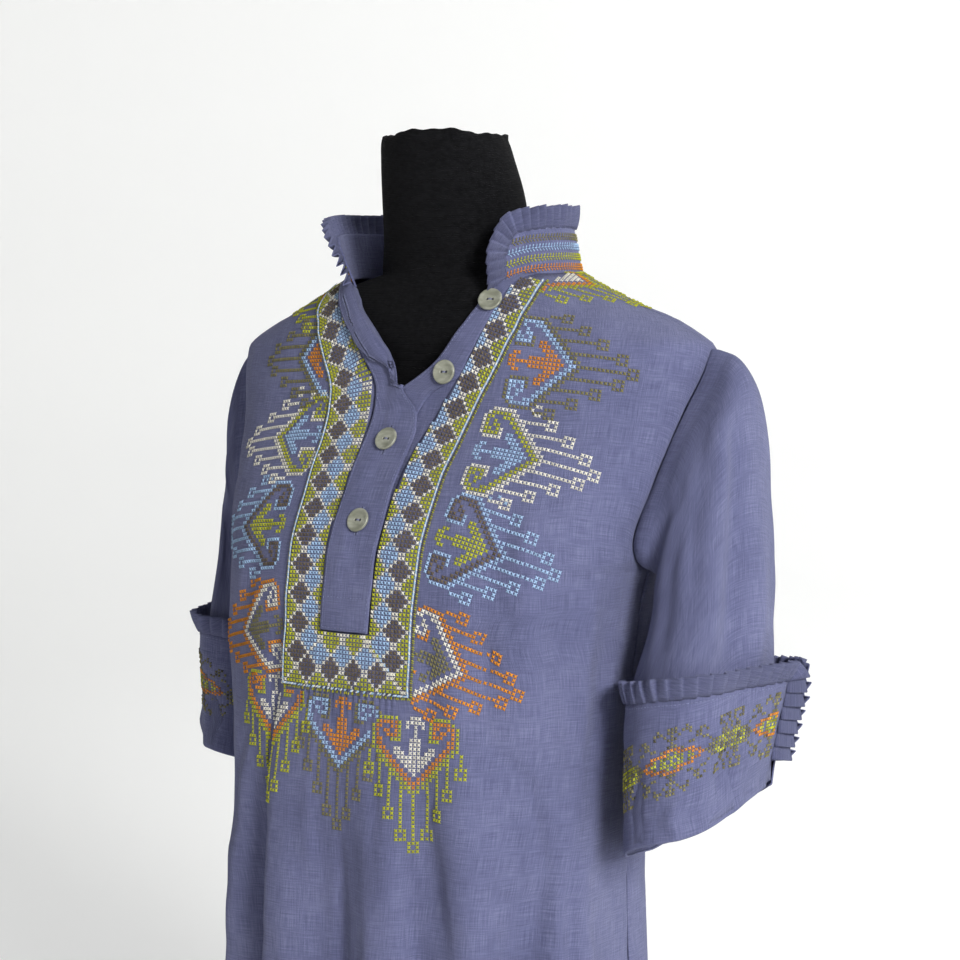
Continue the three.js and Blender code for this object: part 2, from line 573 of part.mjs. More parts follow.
// ---------- collar ----------
// turn: as on the body, from the collar's left end round the back to its right end; up: 0 to 1 at its upper
// edge.
const COLLAR_BASE_Z = NECK_SIDE_Z + SEAM_GAP;
function collarBase(turn) {
  const fromFront = Math.min(turn, 360 - turn);
  if (fromFront >= 90) return bodyPoint(turn, NECK_SIDE_Z).setZ(COLLAR_BASE_Z);
  const z = lerp(COLLAR.frontZ, NECK_SIDE_Z, ease((fromFront - COLLAR.flatTurn) / (90 - COLLAR.flatTurn)));
  const side = turn < 180 ? "left" : "right";
  const x = fromTable(NECK_EDGE, z, side) * (side === "left" ? 1 : -1);
  return frontByWidth(x, z).add(vec(0, 0, SEAM_GAP));
}
function collarSurface(turn, up) {
  const toLeft = bump(turn - COLLAR.end, COLLAR.leanSpread);
  const toRight = bump(turn - (360 - COLLAR.end), COLLAR.leanSpread);
  const toBack = 1 - toLeft - toRight;
  const lean = COLLAR.backLean * toBack + COLLAR.leftLean * toLeft + COLLAR.rightLean * toRight;
  const outward = vec(Math.sin(rad(turn)), -Math.cos(rad(turn)), 0);
  return collarBase(turn)
    .addScaledVector(outward, lean * up)
    .add(vec(0, 0, up * COLLAR.height));
}
const COLLAR_ENDS = [COLLAR.end, 360 - COLLAR.end];
const fromEnd = (turn) => Math.min(turn - COLLAR_ENDS[0], COLLAR_ENDS[1] - turn);
const collarTop = (turn) => 1 - COLLAR.roundedShare * ease(1 - fromEnd(turn) / COLLAR.roundedEnd) ** 2;
const collarBand = (turn, share) => collarSurface(turn, share * collarTop(turn));
const collarTurns = steps(COLLAR_ENDS[0], COLLAR_ENDS[1], 34);
add(
  "collar",
  wallBetween(
    patch(collarBand, collarTurns, steps(0, 1, 3), 0, TURN_STEP),
    patch(collarBand, collarTurns, steps(0, 1, 3), -CLOTH, TURN_STEP),
  ),
  MATERIALS.linen,
);
// The frill runs up each end of the collar, round its corner and along its upper edge.
const CORNER_WAY = 78; // how far the frill is turned at the start of a corner
const collarCorner = (end, inward) =>
  steps(0, 1, 4).map((t) => {
    const u = end + inward * t * COLLAR.roundedEnd;
    return { u, v: collarTop(u) + 0.01, way: -inward * CORNER_WAY * (1 - t) ** 1.3, flare: lerp(10, 4, t) };
  });
const collarFrillLine = [
  { u: COLLAR_ENDS[0], v: 0.2, way: -90, flare: 10 },
  ...collarCorner(COLLAR_ENDS[0], 1),
  ...collarCorner(COLLAR_ENDS[1], -1).reverse(),
  { u: COLLAR_ENDS[1], v: 0.2, way: 90, flare: 10 },
];
add("collar_frill", frill(collarSurface, collarFrillLine, COLLAR_FRILL, 1), MATERIALS.linen);

// ---------- bib ----------
// along: 0 at the right end by the collar, 1 and 2 at the corners, 3 at the left end; across: 0 inside, 1
// outside.
function bibSurface(across, along) {
  const [bottom, top] = [BIB[0].z, BIB.at(-1).z];
  const innerBottom = TOP_PLACKET[0].z - 2 * SEAM_GAP;
  if (along > 1 && along < 2) {
    const x = lerp(-1, 1, along - 1);
    const inner = { x: x * BIB[0].inLeft, z: innerBottom };
    const outer = { x: x * BIB[0].outLeft, z: bottom };
    return frontByWidth(lerp(inner.x, outer.x, across), lerp(inner.z, outer.z, across));
  }
  const side = along <= 1 ? "Right" : "Left";
  const down = along <= 1 ? along : 3 - along;
  const innerZ = lerp(top, innerBottom, down);
  const outerZ = lerp(top, bottom, down);
  const inner = fromTable(BIB, innerZ, `in${side}`);
  const outer = fromTable(BIB, outerZ, `out${side}`);
  const x = lerp(inner, outer, across) * (side === "Left" ? 1 : -1);
  return frontByWidth(x, lerp(innerZ, outerZ, across));
}
const bibStations = [...steps(0, 1, 16), ...steps(1, 2, 6).slice(1, -1), ...steps(2, 3, 16)];
// A layer of cloth on a surface; it stands off a little more on the steep curve beside the neck.
const lifted = (at, out) => (u, v) => {
  const point = at(u, v);
  const besideNeck = ease((point.z - NECK_CURVE_FROM) / NECK_CURVE_RISE) * NECK_CURVE_LIFT;
  return point.addScaledVector(bodyNormal(point), out + besideNeck);
};
function layerOn(at, us, vs, from, cloth) {
  const [inner, outer] = [from, from + cloth].map((out) => lifted(at, out));
  return wallBetween(vs.map((v) => us.map((u) => outer(u, v))), vs.map((v) => us.map((u) => inner(u, v))));
}
add("bib", layerOn(bibSurface, steps(0, 1, 4), bibStations, LAID_GAP, BIB_CLOTH), MATERIALS.band);

// ---------- plackets ----------
const strip = (rows) => (across, z) =>
  frontByWidth(lerp(fromTable(rows, z, "right"), fromTable(rows, z, "left"), across), z);
const heights = (rows, count) => steps(rows[0].z, rows.at(-1).z, count);
add(
  "placket_under",
  layerOn(strip(UNDER_PLACKET), steps(0, 1, 3), heights(UNDER_PLACKET, 12), LAID_GAP, PLACKET_CLOTH),
  MATERIALS.linen,
);
const TOP_PLACKET_LIFT = LAID_GAP * 2 + PLACKET_CLOTH;
const topPlacket = (across, z) => {
  const point = strip(TOP_PLACKET)(across, z);
  return point.addScaledVector(bodyNormal(point), fromTable(TOP_PLACKET, z, "roll") * across ** 2);
};
add(
  "placket_top",
  layerOn(topPlacket, steps(0, 1, 4), heights(TOP_PLACKET, 18), TOP_PLACKET_LIFT, PLACKET_CLOTH),
  MATERIALS.linen,
);

// ---------- buttons ----------
function buttonGeometry() {
  const circle = (x, radius, corners) =>
    steps(0, 2 * Math.PI, corners)
      .slice(0, -1)
      .map((angle) => new THREE.Vector2(x + radius * Math.cos(angle), radius * Math.sin(angle)));
  const disc = new THREE.Shape(circle(0, BUTTON.radius - BUTTON.bevel, 20));
  for (const side of [-1, 1]) {
    const hole = circle((side * BUTTON.holeApart) / 2, BUTTON.holeRadius + BUTTON.bevel, 6);
    disc.holes.push(new THREE.Path(hole));
  }
  const geometry = new THREE.ExtrudeGeometry(disc, {
    depth: BUTTON.thickness - 2 * BUTTON.bevel,
    bevelThickness: BUTTON.bevel,
    bevelSize: BUTTON.bevel,
    bevelSegments: 1,
  });
  return geometry.translate(0, 0, BUTTON.bevel);
}
for (const { name, placket, x, z } of BUTTONS) {
  const { normal, acrossU } = frameOf(frontByWidth, x, z, BUTTON.radius, BUTTON.radius);
  const lift = placket === "top" ? TOP_PLACKET_LIFT + PLACKET_CLOTH : LAID_GAP + PLACKET_CLOTH;
  const mesh = add(name, buttonGeometry(), MATERIALS.shell);
  mesh.position.copy(lifted(frontByWidth, lift + BUTTON.lift)(x, z));
  const acrossHoles = acrossU.clone().cross(normal);
  mesh.quaternion.setFromRotationMatrix(new THREE.Matrix4().makeBasis(acrossHoles, acrossU, normal));
}

// ---------- the form ----------
function formRing(rows, turn, z) {
  const row = (column) => fromTable(rows, z, column);
  const depth = Math.cos(rad(turn)) >= 0 ? row("front") : row("back");
  return vec(row("half") * Math.sin(rad(turn)), row("y") - depth * Math.cos(rad(turn)), z);
}
function formPoint(turn, z) {
  if (z > FORM_SHOULDER_END) return formRing(FORM_NECK, turn, z);
  const { normal } = frameOf(bodyPoint, turn, z, TURN_STEP, TURN_STEP);
  const shoulder = bodyPoint(turn, z).addScaledVector(normal, -CLOTH - SEAT_GAP);
  const share = ease((z - FORM_SHOULDER_FROM) / (FORM_SHOULDER_FULL - FORM_SHOULDER_FROM));
  return share === 0 ? formRing(FORM_TORSO, turn, z) : formRing(FORM_TORSO, turn, z).lerp(shoulder, share);
}
function loft(rings) {
  const columns = rings[0].length;
  const points = rings.flat();
  const faces = [];
  for (let r = 0; r < rings.length - 1; r++) {
    for (let c = 0; c < columns; c++) {
      const [a, b] = [r * columns + c, r * columns + ((c + 1) % columns)];
      faces.push(a, b, b + columns, a, b + columns, a + columns);
    }
  }
  for (const [ring, flip] of [[0, true], [rings.length - 1, false]]) {
    const centre = rings[ring].reduce((sum, p) => sum.add(p), vec(0, 0, 0)).divideScalar(columns);
    points.push(centre);
    for (let c = 0; c < columns; c++) {
      const [a, b] = [ring * columns + c, ring * columns + ((c + 1) % columns)];
      faces.push(...(flip ? [b, a] : [a, b]), points.length - 1);
    }
  }
  return closedGeometry(points, faces);
}
const formHeights = [
  ...[0, 30, 70, 130, 190, 250, 310, 350, 400, 460, 520, 570, 620, 660],
  ...[684, 700, 712, 722, 734, 746],
  ...FORM_NECK.map((row) => row.z),
];
const formTurns = steps(0, 360, 32).slice(0, -1);
const formRings = formHeights.map((z) => formTurns.map((turn) => formPoint(turn, z)));
add("form", loft(formRings), MATERIALS.jersey);

export default tunic;
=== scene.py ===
# %% [markdown]
# # A linen tunic on a limbless dress form
# The tunic is a blue-violet linen shirt with a frilled stand collar, a buttoned neck placket, a band of
# cross stitch round the placket, kilim-like motifs on the chest and turned-up embroidered cuffs.
# A garment can be simulated, or each panel can be a surface that is worked out from its sizes. Here every
# panel is a surface, because a worn pose with folds in known places is then the same each time, and because
# whatever is sewn on a panel can be found on the same surface.

# %% Load the frame
import math
import bpy
import numpy as np
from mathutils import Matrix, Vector
from mathutils.bvhtree import BVHTree


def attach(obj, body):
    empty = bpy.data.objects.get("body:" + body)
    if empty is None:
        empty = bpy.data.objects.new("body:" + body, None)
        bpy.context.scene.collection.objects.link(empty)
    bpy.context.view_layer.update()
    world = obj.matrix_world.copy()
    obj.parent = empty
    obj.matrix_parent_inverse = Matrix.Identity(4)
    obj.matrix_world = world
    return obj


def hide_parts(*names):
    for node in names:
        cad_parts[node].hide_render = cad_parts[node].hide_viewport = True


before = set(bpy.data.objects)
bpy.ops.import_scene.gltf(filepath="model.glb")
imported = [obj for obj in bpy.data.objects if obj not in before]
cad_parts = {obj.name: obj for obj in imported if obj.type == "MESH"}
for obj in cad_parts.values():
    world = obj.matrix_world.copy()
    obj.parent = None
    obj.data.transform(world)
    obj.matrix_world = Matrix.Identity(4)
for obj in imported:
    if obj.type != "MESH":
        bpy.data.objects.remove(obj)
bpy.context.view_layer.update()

MM = 0.001  # the surfaces are worked out in millimetres and the meshes are in metres

# %% [markdown]
# ## Small helpers
# Half of tailoring is a curve through a few known widths. A table holds the widths by height, and a smooth
# curve that never overshoots its rows joins them, which is the same curve that the frame's solids use.


# %% Curves through tables
def table(names, *rows):
    """Rows of named columns, as arrays."""
    return dict(zip(names.split(), np.array(rows, float).T))


def read(rows, at, column, key="z"):
    """A column's value at a key, on a smooth curve through the rows."""
    keys, values = rows[key], rows[column]
    slope = np.diff(values) / np.diff(keys)
    tangent = np.concatenate([slope[:1], np.zeros(len(slope) - 1), slope[-1:]])
    before, after = slope[:-1], slope[1:]
    total = np.where(before * after > 0, before + after, 1)
    tangent[1:-1] = np.where(before * after > 0, 2 * before * after / total, 0)
    at = np.clip(np.asarray(at, float), keys[0], keys[-1])
    i = np.clip(np.searchsorted(keys, at) - 1, 0, len(keys) - 2)
    width = keys[i + 1] - keys[i]
    t = (at - keys[i]) / width
    return (
        values[i] * (1 + 2 * t) * (1 - t) ** 2
        + tangent[i] * width * t * (1 - t) ** 2
        + values[i + 1] * t * t * (3 - 2 * t)
        + tangent[i + 1] * width * t * t * (t - 1)
    )


def rad(degrees):
    return np.radians(degrees)


def lerp(a, b, t):
    return a + (b - a) * t


def ease(t):
    t = np.clip(t, 0, 1)
    return t * t * (3 - 2 * t)


def bump(distance, spread):
    return np.exp(-((distance / spread) ** 2))


def turn_apart(a, b):
    return (a - b + 180) % 360 - 180


def signed_power(value, power):
    return np.sign(value) * np.abs(value) ** power


def unit(vectors):
    return vectors / np.maximum(np.linalg.norm(vectors, axis=-1, keepdims=True), 1e-12)


def vec(x, y, z):
    return np.stack(np.broadcast_arrays(x, y, z), -1).astype(float)


def lengths_along(points, axis):
    """How far each point of a grid is from the start of its row or column."""
    steps = np.linalg.norm(np.diff(points, axis=axis), axis=-1)
    return np.insert(np.cumsum(steps, axis=axis), 0, 0, axis=axis)


# %% [markdown]
# ## The camera
# The camera looks at the wearer's left front from a little above the chest, about an arm's length and a
# half away. A long lens keeps the sleeves and the collar in proportion.

# %% Camera
CAMERA_PLACE = (0.918, -1.301, 0.713)
CAMERA_AZIMUTH = 34.67
CAMERA_ELEVATION = 3.92
CAMERA_LENS = 78.5
camera = bpy.data.objects.new("camera", bpy.data.cameras.new("camera"))
camera.data.lens = CAMERA_LENS
camera.data.sensor_width = 36
camera.location = CAMERA_PLACE
camera.rotation_euler = (math.radians(90 - CAMERA_ELEVATION), 0, math.radians(CAMERA_AZIMUTH))
bpy.context.scene.collection.objects.link(camera)
bpy.context.scene.camera = camera
bpy.context.scene.view_settings.view_transform = "Standard"
print("camera lens", CAMERA_LENS, "mm")

# %% [markdown]
# ## The body's surface
# Front and back share one surface. At each height it is a ring that is rounder behind and squarer in front,
# and the skirt's folds push it in and out. Its two measures are the turn round the body, from the front
# middle towards the wearer's left, and the height.

# %% Sizes of the body
HEM_Z, UNDERARM_Z, V_POINT_Z, SHOULDER_TIP_Z, NECK_SIDE_Z = 50, 548, 672, 704, 760
SEAM_GAP = 0.3
BODY = table(
    "z half front back front_square back_square seam_y",
    (50, 176, 142, 132, 2.5, 2.2, -20),
    (170, 169, 140, 124, 2.5, 2.2, -20),
    (290, 162, 138, 114, 2.55, 2.2, -20),
    (380, 161, 134, 106, 2.6, 2.2, -20),
    (450, 163, 127, 104, 2.7, 2.2, -19),
    (510, 168, 125, 106, 2.7, 2.2, -16),
    (560, 176, 122, 110, 2.6, 2.2, -11),
    (610, 190, 108, 112, 2.4, 2.15, -3),
    (660, 202, 92, 104, 2.2, 2.1, 8),
    (690, 209, 89, 92, 2.1, 2.05, 13),
    (704, 208, 88, 82, 2.05, 2.0, 14),
    (722, 182, 84, 76, 2.0, 2.0, 13),
    (740, 140, 76, 70, 2.0, 2.0, 11),
    (753, 111, 69, 65, 2.0, 2.0, 10),
    (760, 95, 66, 63, 2.0, 2.0, 10),
)
ARMHOLE = table(
    "z front back",
    (548, 90, 90),
    (556, 84, 84),
    (572, 80, 80),
    (600, 78.5, 77),
    (640, 79, 77),
    (672, 82, 80),
    (694, 86, 85),
    (704, 90, 90),
)
NECK_EDGE = table(
    "z left right",
    (672, 0, 0),
    (682, 15, 3),
    (698, 34, 10),
    (716, 47, 24),
    (735, 58, 45),
    (750, 69, 62),
    (757, 82, 80),
    (760, 95, 95),
)
# From a head down to the hem: the turn and the half-width at each end, and the depth at the hem.
BODY_FOLDS = table(
    "head turn foot spread foot_spread depth",
    (462, -26, -25, 5, 7, -17),
    (440, -39, -40, 7, 9, 8),
    (446, -13, -12, 6, 8, 8),
    (440, -2, 1, 5, 7, -10),
    (446, 9, 12, 6, 8, 8),
    (448, 19, 24, 5, 7, -12),
    (470, 33, 37, 8, 10, 7),
    (500, 48, 54, 8, 10, -9),
    (500, -56, -58, 8, 10, -9),
    (480, 70, 72, 8, 9, 5),
    (480, -72, -74, 8, 9, 5),
    (560, 128, 122, 9, 12, -11),
    (540, 150, 146, 10, 12, 8),
    (560, 176, 174, 9, 12, -10),
    (540, -158, -152, 10, 12, 8),
    (560, -132, -126, 9, 12, -11),
)
FOLD_GROWN, FOLD_DEPTH_THERE = 0.385, 0.75


# %% Points of the body
def fold_push(turn, z):
    push = 0
    for head, turned, foot, spread, foot_spread, depth in zip(*BODY_FOLDS.values()):
        fall = np.clip((head - z) / (head - HEM_Z), 0, 1)
        growth = ease(fall / FOLD_GROWN) * lerp(FOLD_DEPTH_THERE, 1, fall)
        away = turn_apart(turn, lerp(turned, foot, fall))
        push = push + depth * growth * bump(away, lerp(spread, foot_spread, fall))
    return push


def body_point(turn, z):
    turn, z = np.broadcast_arrays(np.asarray(turn, float), np.asarray(z, float))
    in_front = np.cos(rad(turn)) >= 0
    half = read(BODY, z, "half")
    depth = np.where(in_front, read(BODY, z, "front"), read(BODY, z, "back"))
    power = 2 / np.where(in_front, read(BODY, z, "front_square"), read(BODY, z, "back_square"))
    x = half * signed_power(np.sin(rad(turn)), power)
    y = -depth * signed_power(np.cos(rad(turn)), power)
    outward = unit(vec(x / half**2, y / depth**2, 0))
    return vec(x, read(BODY, z, "seam_y") + y, z) + outward * fold_push(turn, z)[..., None]


def reach(z, side):
    """How far round a panel reaches from its middle."""
    in_armhole = (z > UNDERARM_Z) & (z < SHOULDER_TIP_Z)
    return np.where(in_armhole, read(ARMHOLE, z, side), 90)


def front_point(x, z):
    """The front by the distance from its middle and the height."""
    power = 2 / read(BODY, z, "front_square")
    share = np.minimum(1, np.abs(x) / read(BODY, z, "half"))
    return body_point(np.sign(x) * np.degrees(np.arcsin(share ** (1 / power))), z)


print("bust", round(float(lengths_along(body_point(np.arange(0, 361, 2), 510), 0)[-1])), "mm round")

# %% [markdown]
# ## Cloth as a wall
# A panel is a grid of points. Its wall has the grid outside, a copy of it inside, and a rim that closes the
# two, so its edges show their thickness. The UV map holds the real distance along the cloth in metres, so
# that one weave fits every panel. A Solidify modifier could do the same, but a wall that is written out
# keeps the weave at true size on the rim as well.

# %% Cloth maker
CLOTH = 1.1  # the linen with its turnings


def grid_normals(points, ring=False):
    across = np.roll(points, -1, 1) - np.roll(points, 1, 1) if ring else np.gradient(points, axis=1)
    return unit(np.cross(across, np.gradient(points, axis=0)))


def cloth_lengths(points, ring=False):
    """The weave's two measures at each point of a grid, in millimetres, from its middle column."""
    if ring:
        points = np.concatenate([points, points[:, :1]], 1)
    across = lengths_along(points, 1)
    across = across - across[:, across.shape[1] // 2][:, None]
    along = lengths_along(points, 0)
    return np.stack([across, along], -1)


def new_object(name, mesh):
    thing = bpy.data.objects.new(name, mesh)
    bpy.context.scene.collection.objects.link(thing)
    return thing


def cloth(name, points, thickness=CLOTH, ring=False, outward=1, weave=None):
    """A wall of cloth, from a grid of points in millimetres on its outer face."""
    rows, columns = points.shape[:2]
    inner = points - grid_normals(points, ring) * thickness * outward
    id = np.arange(rows * columns * 2).reshape(2, rows, columns)
    place = cloth_lengths(points, ring) if weave is None else weave
    place_id = np.arange(place.shape[0] * place.shape[1]).reshape(place.shape[:2])
    if ring:
        id = np.concatenate([id, id[:, :, :1]], 2)
    quads, corners, flat = [], [], []

    def add(a, b, c, d, layer, rim):
        ids = [id[layer[0]][a], id[layer[1]][b], id[layer[2]][c], id[layer[3]][d]]
        quads.append(np.stack(ids, -1).reshape(-1, 4))
        corners.append(np.stack([place_id[a], place_id[b], place_id[c], place_id[d]], -1).reshape(-1, 4))
        flat.append(np.full(len(quads[-1]), rim))

    low, high, left, right = np.s_[:-1], np.s_[1:], np.s_[:-1], np.s_[1:]
    add((low, left), (low, right), (high, right), (high, left), (0, 0, 0, 0), False)
    add((low, left), (high, left), (high, right), (low, right), (1, 1, 1, 1), False)
    add((0, left), (0, left), (0, right), (0, right), (0, 1, 1, 0), True)
    add((-1, left), (-1, right), (-1, right), (-1, left), (0, 0, 1, 1), True)
    if not ring:
        add((low, 0), (high, 0), (high, 0), (low, 0), (0, 0, 1, 1), True)
        add((low, -1), (low, -1), (high, -1), (high, -1), (0, 1, 1, 0), True)
    quads, corners, flat = np.concatenate(quads), np.concatenate(corners), np.concatenate(flat)
    if outward < 0:
        quads, corners = quads[:, ::-1], corners[:, ::-1]
    mesh = bpy.data.meshes.new(name)
    places = np.concatenate([points.reshape(-1, 3), inner.reshape(-1, 3)]) * MM
    mesh.from_pydata(places.tolist(), [], quads.tolist())
    uv = mesh.uv_layers.new(name="weave")
    uv.data.foreach_set("uv", (place.reshape(-1, 2) * MM)[corners.reshape(-1)].reshape(-1))
    mesh.polygons.foreach_set("use_smooth", ~flat)
    mesh.update()
    return new_object(name, mesh)


def cloth_area(thing):
    """The area of one face of the cloth, in square metres."""
    return round(sum(face.area for face in thing.data.polygons if face.use_smooth) / 2, 4)


# %% [markdown]
# ## Creases
# Worn linen is never smooth. The main creases are given one by one: each is a soft uneven trough or ridge along
# a short path, deepest in its middle and gone at its ends. A fine ripple from a few seeded waves goes over
# the whole panel, for the way linen stays slightly crumpled after ironing.


# %% Crease helpers
def crease_depth(across, along, creases):
    """How far creases move the cloth in or out, in millimetres."""
    moved = np.zeros_like(across)
    for path, depth, width in creases:
        path = np.array(path, float)
        lengths = lengths_along(path, 0)
        nearest, share = np.full_like(across, 1e9), np.zeros_like(across)
        for (x0, z0), (x1, z1), start, end in zip(path, path[1:], lengths, lengths[1:]):
            t = ((across - x0) * (x1 - x0) + (along - z0) * (z1 - z0)) / (end - start) ** 2
            t = np.clip(t, 0, 1)
            gap = np.hypot(across - lerp(x0, x1, t), along - lerp(z0, z1, t))
            share = np.where(gap < nearest, lerp(start, end, t) / lengths[-1], share)
            nearest = np.minimum(nearest, gap)
        uneven = 1 + 0.25 * np.sin(9 * share + depth)
        moved += depth * uneven * np.sin(math.pi * share) ** 0.8 * bump(nearest, width * lerp(0.7, 1.2, share))
    return moved


def ripple(across, along, seed, size, depth, waves=16):
    """A low uneven swell, from waves of about one size in seeded directions."""
    chance = np.random.default_rng(seed)
    total = np.zeros_like(across)
    for _ in range(waves):
        heading = chance.uniform(0, math.pi)
        length = size * chance.uniform(0.6, 1.8)
        phase = chance.uniform(0, 2 * math.pi)
        swing = across * math.cos(heading) + along * math.sin(heading)
        total += np.sin(2 * math.pi * swing / length + phase)
    return depth * total / math.sqrt(waves)


# %% [markdown]
# ## Front and back
# The front is one piece from armhole to armhole, with the neck cut out of it. Its columns stand closer in
# the middle, where the gathers under the embroidered band are. The back is one plain piece.

# %% Panels of the body
HALVINGS = 40


def front_top(share):
    """The height at which each column of the front meets the edge of the open neck."""
    low = np.full(share.shape, float(V_POINT_Z))
    high = np.full(share.shape, float(NECK_SIDE_Z))
    for _ in range(HALVINGS):
        z = (low + high) / 2
        edge = np.where(share > 0, read(NECK_EDGE, z, "left"), read(NECK_EDGE, z, "right"))
        inside = np.abs(body_point(share * 90, z)[..., 0]) > edge
        low, high = np.where(inside, z, low), np.where(inside, high, z)
    return np.where(np.abs(share) < 1e-6, V_POINT_Z, low)


def panel(side, middle, top, shares, rows):
    """A panel's grid of points, its columns' shares from -1 to 1 and its rows' from the hem up."""
    share, height = np.meshgrid(shares, rows)
    z = lerp(HEM_Z, top(shares)[None, :], height)
    seam = np.degrees(SEAM_GAP / 2 / read(BODY, z, "half"))
    return body_point(middle + share * (reach(z, side) - seam), z)


def even_shares(middle, side, distances):
    """Shares of a quarter turn at which the cloth's middle column is these distances away."""
    turns = np.linspace(0, 90, 721)
    away = lengths_along(body_point(middle + turns, 480), 0)
    return np.interp(distances, away * (distances[-1] / away[-1]), turns / 90)


def both_sides(half):
    return np.concatenate([-half[:0:-1], half])


FRONT_HALF, BACK_HALF = 272, 250  # half the cloth's width at the bust
FRONT_ROWS, BACK_ROWS = 192, 140
front_distances = np.concatenate([
    np.arange(0, 62, 1.6),
    np.linspace(63.5, FRONT_HALF - 4, 64),
    [FRONT_HALF - 2, FRONT_HALF - 0.8, FRONT_HALF],
])
front_shares = both_sides(even_shares(0, "front", front_distances))
front_smooth = panel("front", 0, front_top, front_shares, np.linspace(0, 1, FRONT_ROWS))
print("front grid", front_smooth.shape)
back_distances = np.concatenate([
    np.linspace(0, BACK_HALF - 4, 60),
    [BACK_HALF - 2, BACK_HALF - 0.8, BACK_HALF],
])
back_shares = both_sides(even_shares(180, "back", back_distances))
back_top = lambda shares: np.full(shares.shape, float(NECK_SIDE_Z))
back_smooth = panel("back", 180, back_top, back_shares, np.linspace(0, 1, BACK_ROWS))
print("back grid", back_smooth.shape)

# %% Creases of the body
BIB_BOTTOM_Z = 464
GATHER_PITCH, GATHER_DEPTH, GATHER_FALL, GATHER_HALF = 5.8, 1.05, 22, 56


def by_x(*path):
    """A crease's path in lengths along the cloth, from one in distances from the middle."""
    measured = []
    for x, z in path:
        half_row = front_point(np.linspace(0, x, 60), max(z, HEM_Z))
        measured.append((math.copysign(lengths_along(half_row, 0)[-1], x), z))
    return measured


FRONT_CREASES = [
    (by_x((-70, 486), (-80, 440), (-86, 360), (-88, 200), (-86, -90)), -10.0, 6.5),
    (by_x((-62, 440), (-68, 360), (-66, 200), (-66, -70)), 3.5, 9),
    (by_x((0, 372), (2, 290), (4, 150), (4, -70)), -6.0, 9),
    (by_x((32, 380), (34, 280), (38, 150), (40, -70)), 3.5, 10),
    (by_x((63, 372), (68, 290), (72, 150), (74, -70)), -6.0, 8),
    (by_x((112, 520), (121, 492), (120, 456)), -2.4, 9),
    (by_x((120, 436), (142, 400), (147, 340), (139, 260), (142, 120)), -5.0, 9),
    (by_x((151, 350), (155, 200), (158, 20)), 4.2, 8),
    ([(196, 360), (200, 210), (204, 20)], -4.5, 6),
    ([(210, 350), (214, 200), (220, 10)], 4.2, 8),
    ([(196, 560), (186, 470), (190, 380)], -4.0, 9),
    ([(-112, 430), (-132, 388), (-140, 330)], -4.5, 9),
    ([(72, 520), (80, 470), (84, 420)], -3.0, 9),
    ([(60, 470), (76, 400), (98, 300), (110, 210)], -4.0, 12),
    ([(92, 500), (104, 430), (112, 350)], 2.0, 12),
    ([(128, 560), (122, 500), (128, 430), (136, 350)], -2.6, 13),
    ([(150, 610), (132, 560), (120, 520)], -2.2, 9),
    ([(158, 640), (150, 590), (150, 530), (158, 470)], 2.2, 10),
    ([(186, 590), (176, 540), (172, 470), (176, 390)], -3.2, 11),
    ([(206, 560), (196, 500), (196, 420)], 2.4, 9),
    ([(222, 552), (214, 500), (208, 420), (210, 330)], -2.8, 10),
    ([(120, 690), (140, 660), (150, 620)], -1.6, 9),
    ([(100, 730), (130, 715), (160, 690)], -1.2, 8),
    ([(-72, 520), (-84, 460), (-88, 400)], -2.4, 10),
    ([(-100, 610), (-118, 560), (-130, 500), (-134, 430)], -2.4, 11),
    ([(-150, 620), (-158, 560), (-166, 480), (-168, 400)], 2.2, 11),
    ([(-190, 580), (-186, 520), (-190, 430)], -3.0, 10),
    ([(-224, 550), (-214, 490), (-214, 400)], -2.6, 10),
    ([(-110, 735), (-134, 715), (-150, 680)], -1.4, 8),
    ([(30, 440), (38, 380), (36, 300)], -1.8, 7),
    ([(-30, 446), (-34, 390), (-30, 310)], 1.8, 7),
    ([(60, 330), (74, 250), (80, 160), (84, 90)], 2.4, 9),
    ([(150, 330), (156, 250), (170, 140)], -3.0, 12),
    ([(-120, 330), (-128, 240), (-132, 130)], -3.0, 12),
]
BACK_CREASES = [
    ([(0, 700), (6, 640), (-4, 570)], -2.8, 11),
    ([(120, 690), (100, 640), (96, 580)], -3.8, 9),
    ([(-120, 690), (-104, 640), (-98, 575)], -3.8, 9),
    ([(170, 560), (150, 500), (146, 420), (156, 330)], -4.6, 10),
    ([(-168, 570), (-150, 510), (-142, 430), (-150, 330)], -4.6, 10),
    ([(205, 540), (196, 480), (190, 400)], 3.4, 9),
    ([(-205, 545), (-196, 480), (-192, 400)], 3.4, 9),
    ([(60, 480), (66, 420), (58, 330)], 3.6, 10),
    ([(-50, 500), (-58, 430), (-54, 350)], -4.0, 10),
    ([(30, 300), (34, 220), (26, 130)], -4.0, 10),
]
EDGE_DIP, EDGE_WIDTH = -0.45, 2.4  # a seam draws the cloth in beside it


def creased(points, creases, seed, seam=True):
    """The panel with its creases, ripple and drawn-in seams."""
    across, along = np.moveaxis(cloth_lengths(points), -1, 0)
    z = points[..., 2]
    moved = crease_depth(across, z, creases)
    moved += ripple(across, z, seed, 62, 0.55) + ripple(across, z, seed + 1, 21, 0.14)
    if seam:
        moved += EDGE_DIP * bump(across - across[:, :1], EDGE_WIDTH)
        moved += EDGE_DIP * bump(across[:, -1:] - across, EDGE_WIDTH)
    return points + grid_normals(points) * moved[..., None]


def gathers(across, z):
    """The small gathers where the skirt is drawn up under the embroidered band."""
    fall = np.clip((BIB_BOTTOM_Z - z) / GATHER_FALL, 0, 9)
    wander = 0.9 * np.sin(across / 11 + 1) + fall * 0.5 * np.sin(across / 17)
    wave = np.sin(2 * math.pi * (across + wander) / GATHER_PITCH)
    inside = ease((GATHER_HALF - np.abs(across)) / 8) * (z < BIB_BOTTOM_Z + 2)
    return GATHER_DEPTH * wave * np.exp(-fall) * inside


